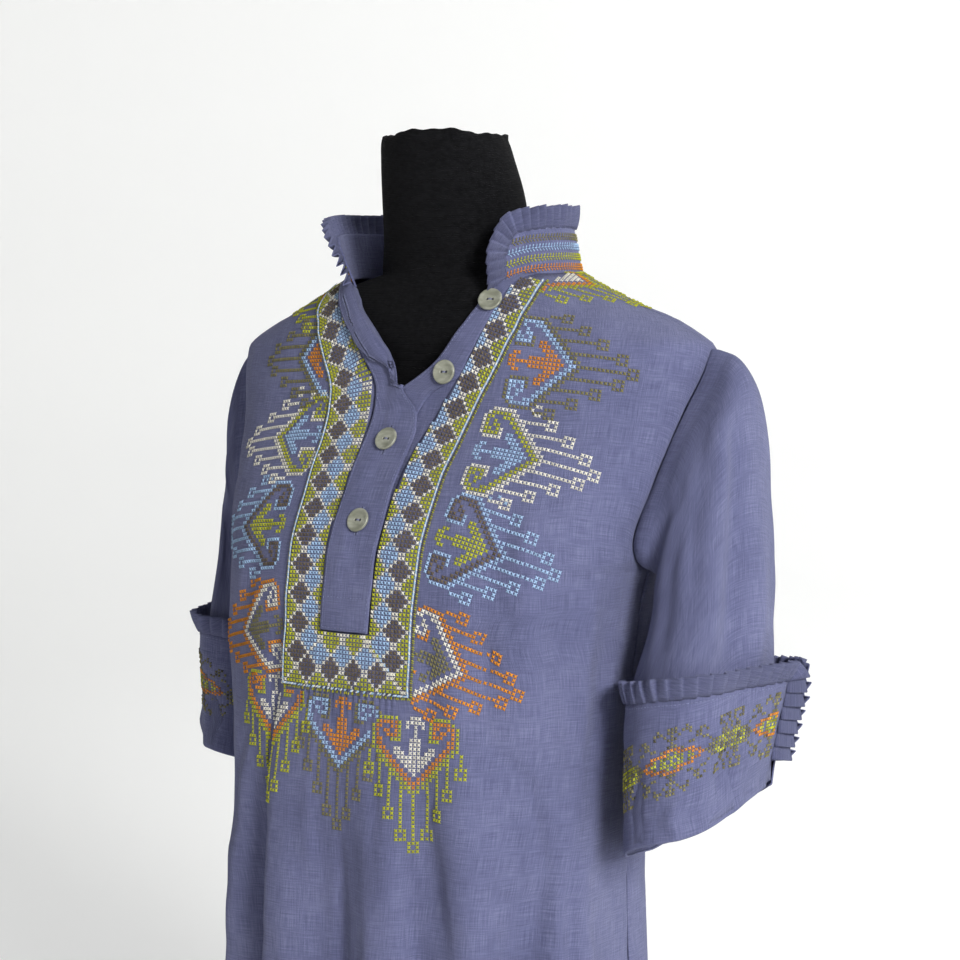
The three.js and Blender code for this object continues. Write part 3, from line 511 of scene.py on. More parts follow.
front_points = creased(front_smooth, FRONT_CREASES, 3)
front_across = cloth_lengths(front_smooth)[..., 0]
front_points += grid_normals(front_smooth) * gathers(front_across, front_smooth[..., 2])[..., None]
front = cloth("front_cloth", front_points)
back_points = creased(back_smooth, BACK_CREASES, 11)
back = cloth("back_cloth", back_points)
for made in (front, back):
    print(made.name, cloth_area(made), "m2,", len(made.data.polygons), "faces")
print("hem widths", [round(float(np.ptp(cloth_lengths(p)[0, :, 0]))) for p in (front_points, back_points)])

# %% [markdown]
# ## Sleeves
# Each sleeve is a tube whose ring starts on the armhole and turns, ring by ring, into the flatter oval of a
# hanging sleeve. The wearer's left sleeve stands off the body more than the right one. A sleeve is one piece
# of cloth with a seam under the arm.

# %% Sleeve surfaces
SLEEVE_COLUMNS = "down outer_x outer_z inner_x inner_z y depth"
SLEEVES = {
    "left": table(
        SLEEVE_COLUMNS,
        (0, 208, 704, 176, 548, 4, 30),
        (0.08, 227, 699, 183, 543, 5, 40),
        (0.2, 242, 678, 184, 537, 6, 50),
        (0.35, 248, 640, 182, 528, 5, 56),
        (0.5, 251, 600, 181, 513, 3, 59),
        (0.65, 255, 554, 178, 490, -1, 61),
        (0.8, 259, 502, 175, 460, -9, 64),
        (1, 264, 404, 172, 350, -22, 66),
    ),
    "right": table(
        SLEEVE_COLUMNS,
        (0, 208, 704, 176, 548, 4, 30),
        (0.08, 219, 699, 183, 543, 6, 37),
        (0.2, 222, 676, 184, 537, 9, 44),
        (0.35, 221, 638, 182, 528, 12, 50),
        (0.5, 222, 596, 181, 515, 14, 54),
        (0.65, 224, 554, 178, 498, 14, 58),
        (0.8, 229, 506, 175, 474, 10, 62),
        (1, 233, 408, 172, 372, 5, 64),
    ),
}
SLEEVE_FOLDS = table(
    "start end turn spread depth",
    (0.06, 0.5, 62, 13, -5),
    (0.25, 0.95, 28, 11, -4),
    (0.3, 0.9, 95, 14, -5),
    (0.3, 0.95, 250, 14, -5),
    (0.1, 0.6, 305, 13, -5),
)
ARMHOLE_FADE = 0.3  # the sleeve has left the armhole's own curve by here
OUTWARD = {"left": 1, "right": -1}  # a mirrored grid has its normals the other way


def armhole_point(turn):
    z = lerp(UNDERARM_Z, SHOULDER_TIP_Z, 0.5 + 0.5 * np.cos(rad(turn)))
    in_front = np.sin(rad(turn)) >= 0
    return body_point(np.where(in_front, reach(z, "front"), 180 - reach(z, "back")), z)


def sleeve_ring(rows, turn, down):
    outer = 0.5 + 0.5 * np.cos(rad(turn))
    return vec(
        lerp(read(rows, down, "inner_x", "down"), read(rows, down, "outer_x", "down"), outer),
        read(rows, down, "y", "down") - read(rows, down, "depth", "down") * np.sin(rad(turn)),
        lerp(read(rows, down, "inner_z", "down"), read(rows, down, "outer_z", "down"), outer),
    )


def sleeve_push(turn, down):
    push = 0
    for start, end, turned, spread, depth in zip(*SLEEVE_FOLDS.values()):
        share = np.clip((down - start) / (end - start), 0, 1)
        push = push + depth * np.sin(math.pi * share) * bump(turn_apart(turn, turned), spread)
    return push


def sleeve_point(side, turn, down):
    """turn: 0 is the sleeve's outer side, 90 its front, 180 its inner side. down: 1 is the elbow fold."""
    turn, down = np.broadcast_arrays(np.asarray(turn, float), np.asarray(down, float))
    rows = SLEEVES[side]
    blend = (1 - ease(down / ARMHOLE_FADE))[..., None]
    point = sleeve_ring(rows, turn, down)
    point += (armhole_point(turn) - sleeve_ring(rows, turn, 0)) * blend
    point += vec(np.cos(rad(turn)), -np.sin(rad(turn)), 0) * sleeve_push(turn, down)[..., None]
    point[..., 0] += 3 * SEAM_GAP
    return point * (OUTWARD[side], 1, 1)


DROOPS = [(48, 44, 14), (190, 50, 4)]  # turn, spread and depth of the soft sags of the lower fold


def droop(turn):
    return sum(depth * bump(turn_apart(turn, at), spread) for at, spread, depth in DROOPS)


SLEEVE_CREASES = {
    "left": [
        ([(-105, 30), (-70, 90), (-60, 180)], -4.3, 9.6),
        ([(-60, 26), (-38, 70), (-34, 150)], 2.8, 9.6),
        ([(-30, 60), (-24, 140), (-34, 250)], -4.7, 9.6),
        ([(4, 120), (0, 200), (-12, 290)], 3.1, 11.2),
        ([(-96, 160), (-84, 220), (-92, 290)], -3.7, 8.8),
        ([(60, 60), (66, 140), (58, 240)], -3.7, 10.4),
        ([(110, 40), (116, 110), (104, 200)], -4.0, 10.4),
        ([(-130, 60), (-126, 120), (-134, 200)], 3.4, 10.4),
    ],
    "right": [
        ([(-100, 30), (-74, 90), (-66, 180)], -3.7, 9.6),
        ([(-30, 50), (-28, 140), (-34, 250)], -3.7, 9.6),
        ([(40, 60), (46, 140), (36, 240)], -3.1, 10.4),
        ([(106, 50), (112, 110), (100, 200)], -3.7, 10.4),
    ],
}
SLEEVE_DROPS = np.concatenate([[0, 0.004, 0.01], np.linspace(0.02, 0.996, 78)])


def sleeve(side):
    turns = np.linspace(180, 540, 101)[:-1]
    turn, down = np.meshgrid(turns, SLEEVE_DROPS)
    points = sleeve_point(side, turn, down)
    points[..., 2] -= droop(turn) * ease((down - 0.82) / 0.18)
    across, along = np.moveaxis(cloth_lengths(points, True)[:, :-1], -1, 0)
    moved = crease_depth(-across, along, SLEEVE_CREASES[side])
    moved += ripple(across, along, 21 + OUTWARD[side], 55, 0.5)
    moved += 0.5 * bump(along - 5, 4)
    points += grid_normals(points, True) * (moved * OUTWARD[side])[..., None]
    # The seam allowance, tucked under the body's edge, closes the seam.
    middle = points[0].mean(0)
    tucked = points[0] + unit(middle - points[0]) * 1.7 - np.array([2.4 * OUTWARD[side], 0, 0])
    points = np.concatenate([tucked[None], points])
    return cloth("sleeve_%s_cloth" % side, points, ring=True, outward=OUTWARD[side])


sleeves = {side: sleeve(side) for side in OUTWARD}
for side, made in sleeves.items():
    print(made.name, cloth_area(made), "m2")

# %% [markdown]
# ## Cuffs
# The cuffs are deep and turned up, so they lie round the sleeves' lower ends with their outer face showing,
# and they gape at a slit on the outer side. Their lower edge is a soft fold.

# %% Cuffs
TOP_INSIDE, TOP_OUTSIDE = 0.815, 0.86  # how far down the sleeve a cuff's upper edge lies
FOLD_LIFT, TOP_LIFT = 0.8, 7
SLIT_TURN, SLIT_HALF, SLIT_LIFT, SLIT_SPREAD = 336, 10, 8, 34
CUFF_START, CUFF_END = SLIT_TURN + SLIT_HALF - 360, SLIT_TURN - SLIT_HALF
STEP = 0.004


def surface_frame(at, u, v, step_u, step_v):
    """A surface's place, its direction along u, the one across it, and its normal."""
    along = unit(at(u + step_u, v) - at(u - step_u, v))
    normal = unit(np.cross(along, at(u, v + step_v) - at(u, v - step_v)))
    return at(u, v), along, np.cross(normal, along), normal


def cuff_point(side, turn, height):
    """height: 0 at the fold and 1 at the seam of the frill."""
    turn, height = np.broadcast_arrays(np.asarray(turn, float), np.asarray(height, float))
    top = lerp(TOP_INSIDE, TOP_OUTSIDE, 0.5 + 0.5 * np.cos(rad(turn)))
    gape = SLIT_LIFT * bump(turn_apart(turn, SLIT_TURN), SLIT_SPREAD) * np.clip(height, 0, 1)
    lift = lerp(FOLD_LIFT, TOP_LIFT, ease(height)) + gape
    surface = lambda t, d: sleeve_point(side, t, d)
    place, _, _, normal = surface_frame(surface, turn, lerp(1, top, height), 0.5, STEP)
    place[..., 2] -= droop(turn) * np.clip(1 - height, 0, 1) ** 1.6
    return place + normal * (lift * OUTWARD[side])[..., None]


FOLD_ROLL = 2.0
CUFF_CREASES = [
    ([(-60, -6), (-50, 26), (-58, 66)], -3.4, 7.2),
    ([(40, -8), (34, 24), (44, 60)], -3.1, 6.4),
    ([(20, -8), (24, 10), (16, 26)], 3.1, 4.8),
    ([(62, -8), (52, 8), (60, 22)], -3.7, 4.0),
    ([(-20, -8), (-14, 12), (-24, 30)], -3.1, 4.8),
    ([(110, -4), (104, 30), (112, 60)], 3.4, 7.2),
    ([(-90, -8), (-82, 14), (-92, 34)], 3.1, 5.6),
    ([(-130, -6), (-120, 34), (-128, 60)], -3.4, 7.2),
]


def cuff_grid(side):
    turn, height = np.meshgrid(np.linspace(CUFF_START, CUFF_END, 130), np.linspace(0, 1, 26))
    points = cuff_point(side, turn, height)
    across, along = np.moveaxis(cloth_lengths(points), -1, 0)
    outward = grid_normals(points) * -OUTWARD[side]
    moved = crease_depth(across, along, CUFF_CREASES) + ripple(across, along, 31, 34, 0.4)
    points += outward * moved[..., None]
    # The lower edge is a soft fold that rolls under.
    down = unit(points[0] - points[1])
    roll = [
        points[0] + down * FOLD_ROLL * math.sin(angle) - outward[0] * FOLD_ROLL * (1 - math.cos(angle))
        for angle in (1.5, 1.0, 0.5)
    ]
    return np.concatenate([roll, points])


cuff_grids = {side: cuff_grid(side) for side in OUTWARD}
cuffs = {side: cloth("cuff_%s_cloth" % side, cuff_grids[side], outward=-OUTWARD[side]) for side in OUTWARD}
for side, made in cuffs.items():
    print(made.name, cloth_area(made), "m2")

# %% [markdown]
# ## Frills
# A knife-pleated frill is a straight strip, pressed into folds that all face one way and sewn into a seam.
# Each pleat rises slowly and tucks back under the next. The same maker runs along any edge: it takes a list
# of places on a surface and the way that the frill points at each.

# %% Frill maker
FRILL_CLOTH = 0.55
# One pleat in cross-section: how far along it, and how high it stands.
PLEAT = [
    (0.0, 0.0), (0.16, 0.22), (0.38, 0.5), (0.6, 0.8),
    (0.78, 1.0), (0.86, 0.94), (0.85, 0.5), (0.83, 0.12),
]
FRILL_ROWS = 7


def frill(name, at, line, height, pleat, rise, root_rise, jag, outward, seed):
    """line: (u, v, way, flare) rows. way is the turn from up towards u, and flare tips the frill outwards."""
    line = np.array(line, float)
    share = np.arange(0, len(line) - 1 + 1e-9, 1 / 24)
    u, v, way, flare = (np.interp(share, np.arange(len(line)), column) for column in line.T)
    root, along, across, normal = surface_frame(at, u, v, 0.5, STEP)
    normal = normal * outward
    turned = lambda degrees: (np.cos(rad(degrees))[:, None], np.sin(rad(degrees))[:, None])
    cos, sin = turned(way)
    up = across * cos + along * sin
    cos, sin = turned(flare)
    up = up * cos + normal * sin
    normal = unit(normal - up * np.sum(normal * up, -1, keepdims=True))
    lengths = lengths_along(root + up * height / 2, 0)
    pleats = round(lengths[-1] / pleat)
    chance = np.random.default_rng(seed)
    stations, highs, number = [], [], []
    for k in range(pleats):
        width = 1 + chance.uniform(-0.12, 0.12)
        for t, high in PLEAT:
            stations.append((k + t) / pleats)
            highs.append(high * width)
            number.append(k)
    stations, highs = np.array(stations + [1]), np.array(highs + [0])
    at_station = lambda column: np.interp(stations * lengths[-1], lengths, column)
    root, up, normal = (np.stack([at_station(c) for c in block.T], -1) for block in (root, up, normal))
    up, normal = unit(up), unit(normal)
    number = np.array(number + [pleats])
    lean = chance.uniform(-0.5, 0.5, pleats + 1)[number]
    reach_out = chance.uniform(-0.7, 0.4, pleats + 1)[number]
    # The free edge of each pleat is a little longer at its crest.
    rows = []
    for t in np.linspace(0, 1, FRILL_ROWS):
        lift = lerp(root_rise, rise, t**0.8) * highs + lean * t + 0.6 * math.sin(math.pi * t)
        far = lerp(-1.2, height, t) + t * (reach_out + jag * highs)
        rows.append(root + up * far[:, None] + normal * lift[:, None])
    made = cloth(name, np.array(rows), FRILL_CLOTH)
    print(name, pleats, "pleats,", cloth_area(made), "m2")
    return made


def cuff_frill(side):
    line = [
        (CUFF_END, 0.24, 90, 34),
        (CUFF_END + 0.5, 1, 82, 34),
        (CUFF_END - 1, 1.01, 10, 20),
        (180, 1, 0, 4),
        (CUFF_START + 1, 1.01, -10, 20),
        (CUFF_START - 0.5, 1, -82, 34),
        (CUFF_START, 0.24, -90, 34),
    ]
    surface = lambda turn, height: cuff_point(side, turn, height)
    return frill(
        "cuff_frill_%s_cloth" % side, surface, line, height=14.5, pleat=9.6, rise=5.0, root_rise=1.8,
        jag=0.1, outward=-OUTWARD[side], seed=41,
    )


cuff_frills = {side: cuff_frill(side) for side in OUTWARD}

# %% [markdown]
# ## Collar
# The stand collar starts on the neck seam at each side of the opening. The wearer's left end stands up and
# shows its embroidered outer face, and the right end leans away and shows its plain inner face.

# %% Collar
COLLAR_END, COLLAR_HEIGHT, COLLAR_FRONT_Z, COLLAR_FLAT_TURN = 51, 33, 750, 40
BACK_LEAN, LEFT_LEAN, RIGHT_LEAN, LEAN_SPREAD = -7, -2, 13, 45
ROUNDED_END, ROUNDED_SHARE = 17, 0.42
CORNER_WAY = 78


def collar_base(turn):
    from_front = np.minimum(turn, 360 - turn)
    rise = ease((from_front - COLLAR_FLAT_TURN) / (90 - COLLAR_FLAT_TURN))
    z = lerp(COLLAR_FRONT_Z, NECK_SIDE_Z, rise)
    x = np.where(turn < 180, read(NECK_EDGE, z, "left"), -read(NECK_EDGE, z, "right"))
    behind = body_point(turn, NECK_SIDE_Z)
    behind[..., 2] = NECK_SIDE_Z
    base = np.where((from_front >= 90)[..., None], behind, front_point(x, z))
    return base + (0, 0, SEAM_GAP)


def collar_point(turn, up):
    turn, up = np.broadcast_arrays(np.asarray(turn, float), np.asarray(up, float))
    to_left = bump(turn - COLLAR_END, LEAN_SPREAD)
    to_right = bump(turn - (360 - COLLAR_END), LEAN_SPREAD)
    lean = BACK_LEAN * (1 - to_left - to_right) + LEFT_LEAN * to_left + RIGHT_LEAN * to_right
    outward = vec(np.sin(rad(turn)), -np.cos(rad(turn)), 0)
    return collar_base(turn) + outward * (lean * up)[..., None] + vec(0, 0, up * COLLAR_HEIGHT)


def collar_top(turn):
    from_end = np.minimum(turn - COLLAR_END, 360 - COLLAR_END - turn)
    return 1 - ROUNDED_SHARE * ease(1 - from_end / ROUNDED_END) ** 2


def collar_band(turn, share):
    return collar_point(turn, share * collar_top(turn))


turn, share = np.meshgrid(np.linspace(COLLAR_END, 360 - COLLAR_END, 150), np.linspace(-0.07, 1, 24))
collar_points = collar_band(turn, share)
across, along = np.moveaxis(cloth_lengths(collar_points), -1, 0)
collar_points += grid_normals(collar_points) * ripple(across, along, 51, 26, 0.3)[..., None]
collar = cloth("collar_cloth", collar_points, 1.5)


def collar_corner(end, inward):
    for t in np.linspace(0, 1, 5):
        u = end + inward * t * ROUNDED_END
        yield u, float(collar_top(u)) + 0.01, -inward * CORNER_WAY * (1 - t) ** 1.3, lerp(10, 4, t)


collar_line = [
    (COLLAR_END, -0.02, -90, 10),
    *collar_corner(COLLAR_END, 1),
    *reversed(list(collar_corner(360 - COLLAR_END, -1))),
    (360 - COLLAR_END, 0.2, 90, 10),
]
collar_frill = frill(
    "collar_frill_cloth", collar_point, collar_line, height=15, pleat=6.6, rise=5.6, root_rise=1.8,
    jag=1.0, outward=1, seed=43,
)
print("collar", cloth_area(collar), "m2")

# %% [markdown]
# ## The embroidered band's cloth
# A band of linen is sewn round the neck placket, down one side, across and up the other. It lies on the
# front, so each of its points is found on the front's own surface and then moved out by the cloth's
# thickness.

# %% Things that lie on the front
def tree_of(*grids):
    """The nearest-point tree of one or more grids of points in millimetres."""
    places, quads, count = [], [], 0
    for grid in grids:
        id = count + np.arange(grid.shape[0] * grid.shape[1]).reshape(grid.shape[:2])
        quads += np.stack([id[:-1, :-1], id[:-1, 1:], id[1:, 1:], id[1:, :-1]], -1).reshape(-1, 4).tolist()
        places += grid.reshape(-1, 3).tolist()
        count = len(places)
    return BVHTree.FromPolygons(places, quads)


front_tree = tree_of(front_points)


def laid_on(tree, points, lift, outward=1):
    """Points dropped onto a surface and lifted off it, with the surface's normal at each."""
    places, normals = [], []
    for point in points.reshape(-1, 3):
        place, normal, _, _ = tree.find_nearest(Vector(point))
        places.append(place)
        normals.append(normal)
    places, normals = np.array(places).reshape(points.shape), np.array(normals).reshape(points.shape) * outward
    return places + normals * np.broadcast_to(lift, points.shape[:-1])[..., None], normals


# %% Band
BIB = table(
    "z in_left in_right out_left out_right",
    (464, 22.5, 22.5, 55, 55),
    (510, 22.5, 22.5, 55, 55),
    (570, 23.5, 21.5, 56, 56),
    (610, 26, 19.5, 58, 57),
    (640, 33, 18, 62, 58),
    (670, 46, 18.5, 70, 61),
    (700, 60, 36, 83, 75),
    (720, 68.5, 53, 90, 86),
    (740, 74.5, 72, 93.5, 95),
    (755, 79, 80, 92, 97),
)
BIB_TOP_Z, BIB_INNER_Z = 755, 503
BAND_LIFT, BAND_CLOTH = 1.5, 0.9


def band_point(across, along):
    """along: 0 at the right end by the collar, 1 and 2 at the corners, 3 at the left end."""
    across, along = np.broadcast_arrays(np.asarray(across, float), np.asarray(along, float))
    x = lerp(-1, 1, along - 1)
    bottom = vec(x * lerp(22.5, 55, across), 0, lerp(BIB_INNER_Z, BIB_BOTTOM_Z, across))
    right = along <= 1.5
    down = np.where(right, along, 3 - along)
    inner_z, outer_z = lerp(BIB_TOP_Z, BIB_INNER_Z, down), lerp(BIB_TOP_Z, BIB_BOTTOM_Z, down)
    inner = np.where(right, read(BIB, inner_z, "in_right"), read(BIB, inner_z, "in_left"))
    outer = np.where(right, read(BIB, outer_z, "out_right"), read(BIB, outer_z, "out_left"))
    side = vec(lerp(inner, outer, across) * np.where(right, -1, 1), 0, lerp(inner_z, outer_z, across))
    at_bottom = (along > 1) & (along < 2)
    place = np.where(at_bottom[..., None], bottom, side)
    return front_point(place[..., 0], place[..., 2])


across, along = np.meshgrid(
    np.linspace(0, 1, 14),
    np.concatenate([np.linspace(0, 1, 110), np.linspace(1, 2, 36)[1:-1], np.linspace(2, 3, 110)]),
)
band_points, _ = laid_on(front_tree, band_point(across, along), BAND_LIFT)
band = cloth("band_cloth", band_points, BAND_CLOTH)
print("band", cloth_area(band), "m2")

# %% [markdown]
# ## Plackets
# The wearer's right placket lies over the left one. Below the point of the neck it is a flat strip with a
# square end. Above it the strip rolls outwards, so its facing shows.

# %% Placket cloths
TOP_PLACKET = table(
    "z right left roll",
    (504, -21.5, 21.5, 0),
    (600, -19, 23, 0),
    (640, -16.5, 26.5, 0),
    (658, -15.5, 22, 0.4),
    (672, -17, 9, 0.8),
    (698, -33, -9, 0.5),
    (716, -47, -23, 0.5),
    (735, -66, -44, 0.5),
    (749, -78, -61, 0.5),
)
UNDER_PLACKET = table(
    "z right left",
    (652, -3, 20),
    (662, 0, 24),
    (672, 3, 31),
    (684, 18, 52),
    (698, 34.5, 58.5),
    (716, 47.5, 66.5),
    (735, 58.5, 73.5),
    (750, 67.5, 78),
    (757, 72, 86),
)
PLACKET_CLOTH, UNDER_LIFT, TOP_LIFT_OUT = 1.2, 2.0, 3.6


def strip_grid(rows, across_steps, z_steps, top_z=None):
    heights = np.linspace(rows["z"][0], top_z or rows["z"][-1], z_steps)
    across, z = np.meshgrid(np.linspace(0, 1, across_steps), heights)
    x = lerp(read(rows, z, "right"), read(rows, z, "left"), across)
    return across, z, front_point(x, z)


across, z, under_smooth = strip_grid(UNDER_PLACKET, 14, 60)
under_points, _ = laid_on(front_tree, under_smooth, UNDER_LIFT)
under = cloth("placket_under_cloth", under_points, PLACKET_CLOTH)
across, z, top_smooth = strip_grid(TOP_PLACKET, 26, 150, 708)
top_points, _ = laid_on(front_tree, top_smooth, TOP_LIFT_OUT + read(TOP_PLACKET, z, "roll") * across**2)
top_points += grid_normals(top_points) * (ripple(across * 40, z, 71, 26, 0.3) * ease(across))[..., None]
top = cloth("placket_top_cloth", top_points, PLACKET_CLOTH)
print("plackets", cloth_area(under), cloth_area(top), "m2")

# %% [markdown]
# ## The rolled-out end of the placket
# Above the point of the neck the top placket rolls outwards and lies over the band, as a small lapel would,
# so that its plain facing shows. A strip whose section runs from the free edge, over a round roll and down
# inside the neck gives it its thickness.

# %% Lapel
LAPEL = table(
    "z right left lift",
    (674, 4, 7.5, 4.0),
    (682, -3, 1.5, 4.9),
    (690, -10, -4, 6.0),
    (695, -19, -7, 6.8),
    (700, -30, -10.5, 7),
    (706, -38, -15.5, 7),
    (716, -47.5, -23, 6.6),
    (735, -66, -44, 5.6),
    (752, -80, -64, 4.6),
)
LAPEL_COLUMNS, LAPEL_ROLL = 18, 2.6  # the columns short of the roll, and the roll's radius
LAPEL_TURNS = (0.35, 0.75, 1.2, 1.7, 2.3, 2.9)


def lapel_grid():
    across, z = np.meshgrid(np.linspace(0, 1, LAPEL_COLUMNS), np.linspace(674, 752, 80))
    x = lerp(read(LAPEL, z, "right"), read(LAPEL, z, "left"), across)
    lift = read(LAPEL, z, "lift") + 1.1 * np.sin(math.pi * across) - 0.8 * (1 - across) ** 2
    points, normals = laid_on(front_tree, front_point(x, z), lift)
    points += normals * ripple(across * 22, z, 73, 20, 0.3)[..., None]
    # Round the roll and down inside the neck.
    edge, up, into = points[:, -1], normals[:, -1], unit(points[:, -1] - points[:, -2])
    into = unit(into - up * np.sum(into * up, -1, keepdims=True))
    radius = LAPEL_ROLL * lerp(0.3, 1, ease((z[:, -1:] - 674) / 22))
    rolled = [edge + into * radius * math.sin(a) - up * radius * (1 - math.cos(a)) * 1.3 for a in LAPEL_TURNS]
    return np.concatenate([points, np.stack(rolled, 1)], 1)


lapel_points = lapel_grid()
lapel = cloth("placket_lapel_cloth", lapel_points, 0.9)
print("lapel", cloth_area(lapel), "m2")

# %% [markdown]
# ## Buttons
# Each button is a turned disc of shell with a shallow dish, a rounded rim and two holes, sewn through them
# with a few strands of thread. A profile spun round its middle makes the disc and a Boolean bores it.

# %% Buttons
BUTTONS = [
    ("button_1", "under", 67.5, 738),
    ("button_2", "under", 41, 687),
    ("button_3", "top", 5, 637),
    ("button_4", "top", 2, 581),
]
BUTTON_PROFILE = [
    (0, 0), (7.6, 0), (8.6, 0.35), (9, 1.1), (8.8, 2.0),
    (8.2, 2.4), (7.4, 2.3), (6.4, 1.75), (3.5, 1.5), (0, 1.5),
]
BUTTON_STEP, BUTTON_LIFT = 6, 0.5  # its tilt is taken this far from its middle; the gap below it
HOLE_RADIUS, HOLE_APART = 1.0, 3.8


def spun(profile, corners):
    """Points and faces of a profile of (radius, height) spun round the middle."""
    points, faces, rings = [], [], []
    for radius, height in profile:
        count = 1 if radius == 0 else corners
        rings.append(range(len(points), len(points) + count))
        for k in range(count):
            angle = 2 * math.pi * k / corners
            points.append((radius * math.cos(angle), radius * math.sin(angle), height))
    for low, high in zip(rings, rings[1:]):
        for k in range(corners):
            a, b = low[k % len(low)], low[(k + 1) % len(low)]
            c, d = high[(k + 1) % len(high)], high[k % len(high)]
            faces.append([p for n, p in enumerate((a, b, c, d)) if p not in (a, b, c, d)[:n]])
    return points, faces


def mesh_object(name, points, faces, smooth=True):
    mesh = bpy.data.meshes.new(name)
    mesh.from_pydata([tuple(p) for p in points], [], faces)
    mesh.polygons.foreach_set("use_smooth", [smooth] * len(mesh.polygons))
    return new_object(name, mesh)


def evaluated_mesh(thing):
    return bpy.data.meshes.new_from_object(thing.evaluated_get(bpy.context.evaluated_depsgraph_get()))


def button_mesh():
    points, faces = spun(BUTTON_PROFILE, 48)
    disc = mesh_object("disc", points, faces)
    for side in (-1, 1):
        points, faces = spun([(0, -1), (HOLE_RADIUS, -1), (HOLE_RADIUS, 4), (0, 4)], 16)
        points = [(x + side * HOLE_APART / 2, y, z) for x, y, z in points]
        drill = mesh_object("drill", points, faces)
        cut = disc.modifiers.new("hole", "BOOLEAN")
        cut.object, cut.operation, cut.solver = drill, "DIFFERENCE", "EXACT"
        mesh = evaluated_mesh(disc)
        disc.modifiers.remove(cut)
        disc.data = mesh
        bpy.data.objects.remove(drill)
    bpy.data.objects.remove(disc)
    return mesh


def button_seat(placket, x, z):
    """The middle of a button's back, and its axes, of which the last points out of the cloth."""
    at = np.array(x, float), np.array(z, float)
    place, _, across, normal = surface_frame(front_point, *at, BUTTON_STEP, BUTTON_STEP)
    lift = TOP_LIFT_OUT if placket == "top" else UNDER_LIFT
    centre, _ = laid_on(front_tree, place[None], lift + BUTTON_LIFT)
    return centre[0], np.stack([np.cross(across, normal), across, normal])


turned = button_mesh()
buttons = {}
for name, *seat in BUTTONS:
    centre, axes = button_seat(*seat)
    points = np.array([v.co for v in turned.vertices]) @ axes + centre
    faces = [list(face.vertices) for face in turned.polygons]
    buttons[name] = mesh_object(name + "_shell", points * MM, faces)
print("button faces", len(turned.polygons))

# %% [markdown]
# ## The dress form
# The form is foam under black knitted jersey, cut off at the neck and without arms. Its shoulders carry the
# tunic. Only its neck shows, and there the jersey is gathered into the top.

# %% Form
FORM_TORSO = table(
    "z half front back y",
    (0, 136, 94, 84, -12),
    (60, 144, 100, 84, -12),
    (150, 148, 103, 83, -12),
    (260, 133, 97, 76, -12),
    (340, 121, 91, 70, -12),
    (430, 132, 98, 76, -12),
    (520, 146, 104, 84, -10),
    (600, 154, 92, 94, -2),
    (660, 172, 80, 88, 8),
    (690, 184, 76, 80, 12),
    (716, 176, 72, 70, 12),
)
FORM_NECK = table(
    "z half front back y",
    (766, 62, 52, 54, 0),
    (785, 57, 52, 54, -4),
    (815, 54, 54, 54, -8),
    (845, 50, 50, 50, -16),
    (859, 47, 47, 47, -20),
    (864, 42, 42, 42, -21),
)
SHOULDER_FROM, SHOULDER_FULL, SHOULDER_END = 684, 718, 748
FORM_INSIDE = 2.4  # the cloth's thickness and the room under it


def form_ring(rows, turn, z):
    depth = np.where(np.cos(rad(turn)) >= 0, read(rows, z, "front"), read(rows, z, "back"))
    return vec(read(rows, z, "half") * np.sin(rad(turn)), read(rows, z, "y") - depth * np.cos(rad(turn)), z)


def form_point(turn, z):
    place, _, _, normal = surface_frame(body_point, turn, np.minimum(z, SHOULDER_END), 0.5, 0.5)
    share = ease((z - SHOULDER_FROM) / (SHOULDER_FULL - SHOULDER_FROM))[..., None]
    torso = lerp(form_ring(FORM_TORSO, turn, z), place - normal * FORM_INSIDE, share)
    return np.where((z > SHOULDER_END)[..., None], form_ring(FORM_NECK, turn, z), torso)


form_turns = np.linspace(0, 360, 97)[:-1]
form_heights = np.concatenate([np.linspace(0, 684, 46), np.linspace(690, 748, 16), np.linspace(760, 859, 40)])
turn, z = np.meshgrid(form_turns, form_heights)
form_points = form_point(turn, z)
top_dip = [(0.985, 2.6), (0.93, 3.6), (0.87, 2.4), (0.82, -2.5), (0.6, -5.5), (0.25, -6)]
centre = np.array([0, -20, 0])
rings = [form_points]
last = form_points[-1]
gathered = (
    np.sin(rad(form_turns * 3 + 20))
    + 0.5 * np.sin(rad(form_turns * 8 + 100))
    + 0.35 * np.sin(rad(form_turns * 19))
)
swell = (last[:, :2] - centre[:2]) * 0.016 * gathered[:, None]
form_points[-6:, :, :2] += swell * np.linspace(0.1, 1, 6)[:, None, None]
for scale, rise in top_dip:
    ring = centre + (last - centre) * (scale + 0.012 * gathered[:, None]) * (1, 1, 0)
    ring[:, 2] = last[:, 2] + rise + gathered * 1.5 * scale**3
    rings.append(ring[None])
form_points = np.concatenate(rings)
rows, columns = form_points.shape[:2]
id = np.arange(rows * columns).reshape(rows, columns)
id = np.concatenate([id, id[:, :1]], 1)
faces = np.stack([id[:-1, :-1], id[:-1, 1:], id[1:, 1:], id[1:, :-1]], -1).reshape(-1, 4).tolist()
faces += [id[0, :-1][::-1].tolist(), id[-1, :-1].tolist()]
form = mesh_object("form_jersey", form_points.reshape(-1, 3) * MM, faces)
print("form faces", len(form.data.polygons))

# %% [markdown]
# ## Finishes
# Every cloth here is dyed yarn, so its colour is uneven in streaks along the threads. The linen's nodes read
# the weave map, in millimetres, for the threads and their slubs, and the object's own coordinates for slow
# changes. A single colour would look like painted card.


# %% Node helpers
def finish(name):
    made = bpy.data.materials.new(name)
    made.use_nodes = True
    return made, made.node_tree, made.node_tree.nodes["Principled BSDF"]


def node(tree, kind, inputs=(), **settings):
    """A node with its settings and inputs: a socket is linked and a value is set."""
    made = tree.nodes.new(kind)
    for key, value in settings.items():
        setattr(made, key, value)
    for key, value in dict(inputs).items():
        if isinstance(value, bpy.types.NodeSocket):
            tree.links.new(value, made.inputs[key])
        else:
            made.inputs[key].default_value = value
    return made


